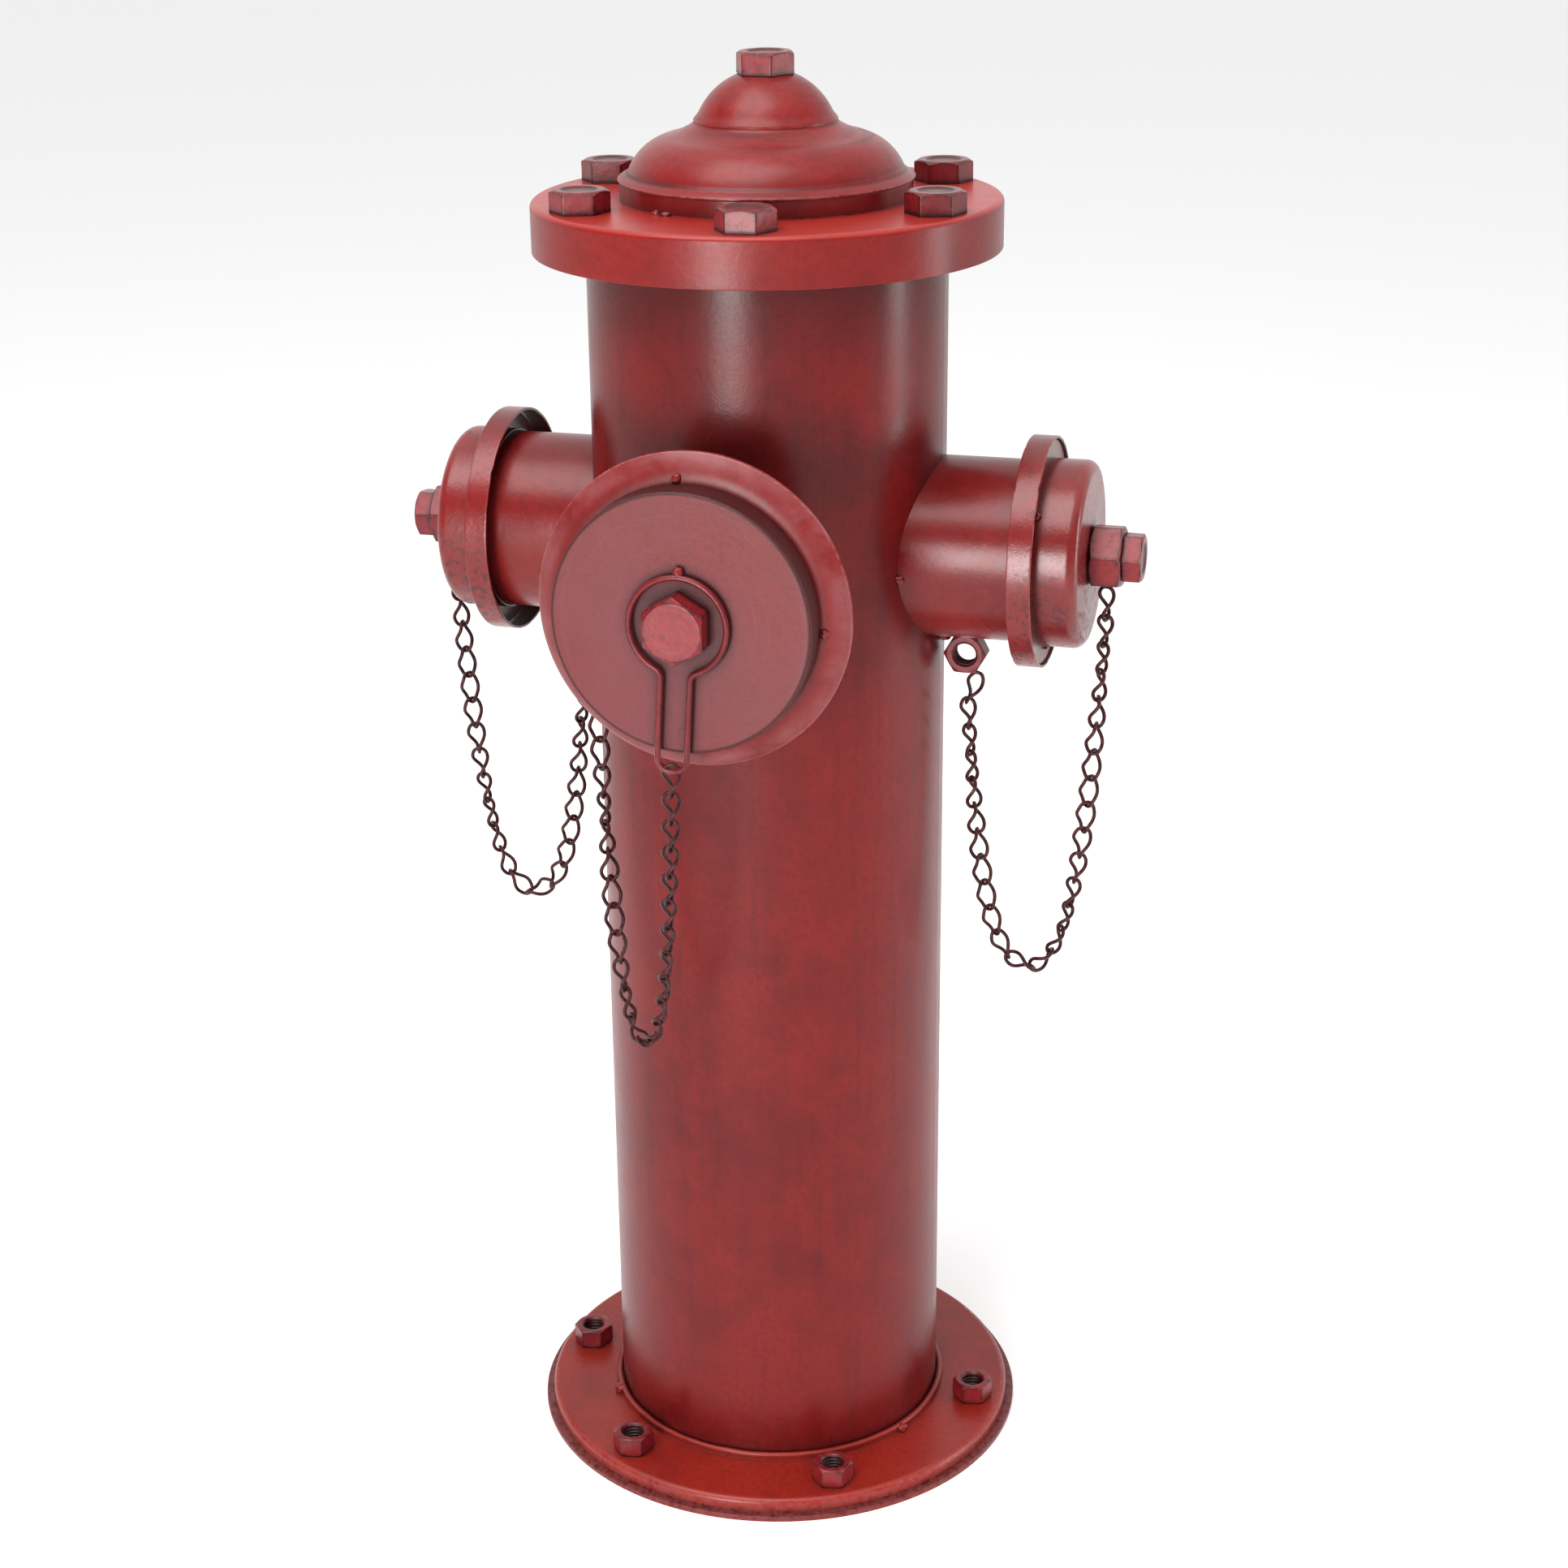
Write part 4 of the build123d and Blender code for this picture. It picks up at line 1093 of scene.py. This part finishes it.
def make_welds():
    """Weld tacks on the front cap, the side caps, the foot ring and the bonnet seat."""
    face, drum = reach("front_cap_dish", "front")[2], reach("front_cap_drum", "front")[0]
    low_clip, high_clip = span("front_clip")
    place = outward(FRONT, NOZZLE_CENTRE)
    tacks = Shape()
    for k, angle in enumerate((94, 184, 274, 356)):
        a = math.radians(angle)
        centre = place @ Vector(((drum + 1.6) * math.cos(a), (drum + 1.6) * math.sin(a), face + 0.1))
        tacks.join(lump(centre, FRONT, 2.2, 2.0, k))
    ring_top = Vector(((low_clip.x + high_clip.x) / 2, low_clip.y * 0.5 + high_clip.y * 0.5, high_clip.z))
    tacks.join(lump(ring_top + Vector((0.4, 1.2, 0.6)), FRONT, 2.6, 2.0, 5))
    piece("front_weld_tacks", tacks, "red", "root", wear=0.3)
    make_side_tacks("right", (143, 263, 23))
    make_side_tacks("left", (37, 157, 277))
    base_top = span("base_flange")[1].z
    seat_radius = span("bonnet_seat")[1].x
    flange_face = span("flange_pan")[1].z
    foot = Shape()
    ring = span("foot_ring")[1].x
    for k, angle in enumerate((210, 332, 92)):
        a = math.radians(angle)
        foot.join(lump((ring * math.cos(a), ring * math.sin(a), base_top + 1.4), UP, 3.0, 2.4, 10 + k))
    piece("foot_weld_tacks", foot, "base", "root", wear=0.3)
    seat = Shape()
    for k, angle in enumerate((245, 240, 118, 0)):
        a = math.radians(angle)
        centre = ((seat_radius + 0.8) * math.cos(a), (seat_radius + 0.8) * math.sin(a), flange_face + 0.2)
        seat.join(lump(centre, UP, 2.2, 1.8, 20 + k))
    piece("seat_weld_tacks", seat, "red", "root", wear=0.3)


make_base()
make_top()
make_front()
make_side("right")
make_side("left")
make_chains()
make_welds()


# ---------------------------------------------------------------- studio


def soft_light(name, place, target, size, power):
    data = bpy.data.lights.new(name, "AREA")
    data.shape = "RECTANGLE"
    data.size, data.size_y = size
    data.energy = power
    light = bpy.data.objects.new(name, data)
    light.location = place
    light.rotation_euler = (Vector(target) - Vector(place)).to_track_quat("-Z", "Y").to_euler()
    bpy.context.scene.collection.objects.link(light)
    return light


def make_world(zenith, front, back):
    """White surroundings that light the object less from the front, where a real studio is dark."""
    world = bpy.data.worlds.new("studio")
    world.use_nodes = True
    tree = world.node_tree
    background = tree.nodes["Background"]
    place = tree.nodes.new("ShaderNodeTexCoord").outputs["Generated"]
    split = tree.nodes.new("ShaderNodeSeparateXYZ")
    tree.links.new(place, split.inputs[0])

    def ramp(axis, first, last, low, high):
        level = tree.nodes.new("ShaderNodeMapRange")
        level.interpolation_type = "SMOOTHSTEP"
        for socket, value in zip(list(level.inputs)[1:5], (first, last, low, high)):
            socket.default_value = value
        tree.links.new(split.outputs[axis], level.inputs[0])
        return level.outputs[0]

    brighter = tree.nodes.new("ShaderNodeMath")
    brighter.operation = "MAXIMUM"
    tree.links.new(ramp("Y", -0.2, 0.5, front, back), brighter.inputs[0])
    tree.links.new(ramp("Z", 0.45, 0.85, 0.0, zenith), brighter.inputs[1])
    shown = tree.nodes.new("ShaderNodeMath")
    shown.operation = "MAXIMUM"
    tree.links.new(brighter.outputs[0], shown.inputs[0])
    tree.links.new(tree.nodes.new("ShaderNodeLightPath").outputs["Is Camera Ray"], shown.inputs[1])
    tree.links.new(shown.outputs[0], background.inputs["Strength"])
    background.inputs["Color"].default_value = (1.0, 1.0, 1.0, 1.0)
    bpy.context.scene.world = world


def make_floor():
    floor = bpy.data.meshes.new("floor")
    reach_out, sides = 40.0, 96
    angles = [math.tau * k / sides for k in range(sides)]
    floor.from_pydata([(reach_out * math.cos(a), reach_out * math.sin(a), 0) for a in angles], [], [range(sides)])
    paper = bpy.data.materials.new("pale_floor")
    paper.use_nodes = True
    shader = paper.node_tree.nodes["Principled BSDF"]
    shader.inputs["Base Color"].default_value = (0.84, 0.84, 0.84, 1.0)
    shader.inputs["Roughness"].default_value = 0.8
    shader.inputs["Specular IOR Level"].default_value = 0.2
    floor.materials.append(paper)
    ground = bpy.data.objects.new("floor", floor)
    bpy.context.scene.collection.objects.link(ground)


def make_studio():
    make_world(1.45, 0.10, 1.08)
    make_floor()
    centre = (0, 0, 0.42)
    soft_light("key_light", (-0.30, -2.3, 0.55), centre, (0.6, 1.0), 44)
    soft_light("top_light", (-0.3, -0.7, 2.3), centre, (1.5, 1.5), 42)
    fill = soft_light("fill_light", (1.2, -1.6, 0.9), centre, (1.2, 1.2), 9)
    fill.visible_glossy = False
    soft_light("strip_light", (1.94, 0.48, 0.55), centre, (0.26, 1.1), 12)
    settings = bpy.context.scene.view_settings
    settings.view_transform = "Standard"
    settings.look = "None"
    settings.exposure = 0.0


def make_camera():
    data = bpy.data.cameras.new("camera")
    data.sensor_width = 36.0
    data.lens = CAMERA_LENS
    data.shift_x, data.shift_y = CAMERA_SHIFT
    data.clip_end = 100.0
    camera = bpy.data.objects.new("camera", data)
    forward = Vector((
        -math.sin(CAMERA_AZIMUTH) * math.cos(CAMERA_PITCH),
        math.cos(CAMERA_AZIMUTH) * math.cos(CAMERA_PITCH),
        math.sin(CAMERA_PITCH),
    ))
    level = forward.cross(Vector((0, 0, 1))).normalized()
    above = level.cross(forward)
    right = level * math.cos(CAMERA_ROLL) + above * math.sin(CAMERA_ROLL)
    up = above * math.cos(CAMERA_ROLL) - level * math.sin(CAMERA_ROLL)
    turn = Matrix((right, up, -forward)).transposed()
    camera.rotation_mode = "QUATERNION"
    camera.rotation_quaternion = turn.to_quaternion()
    camera.location = CAMERA_PLACE
    bpy.context.scene.collection.objects.link(camera)
    bpy.context.scene.camera = camera


make_studio()
make_camera()
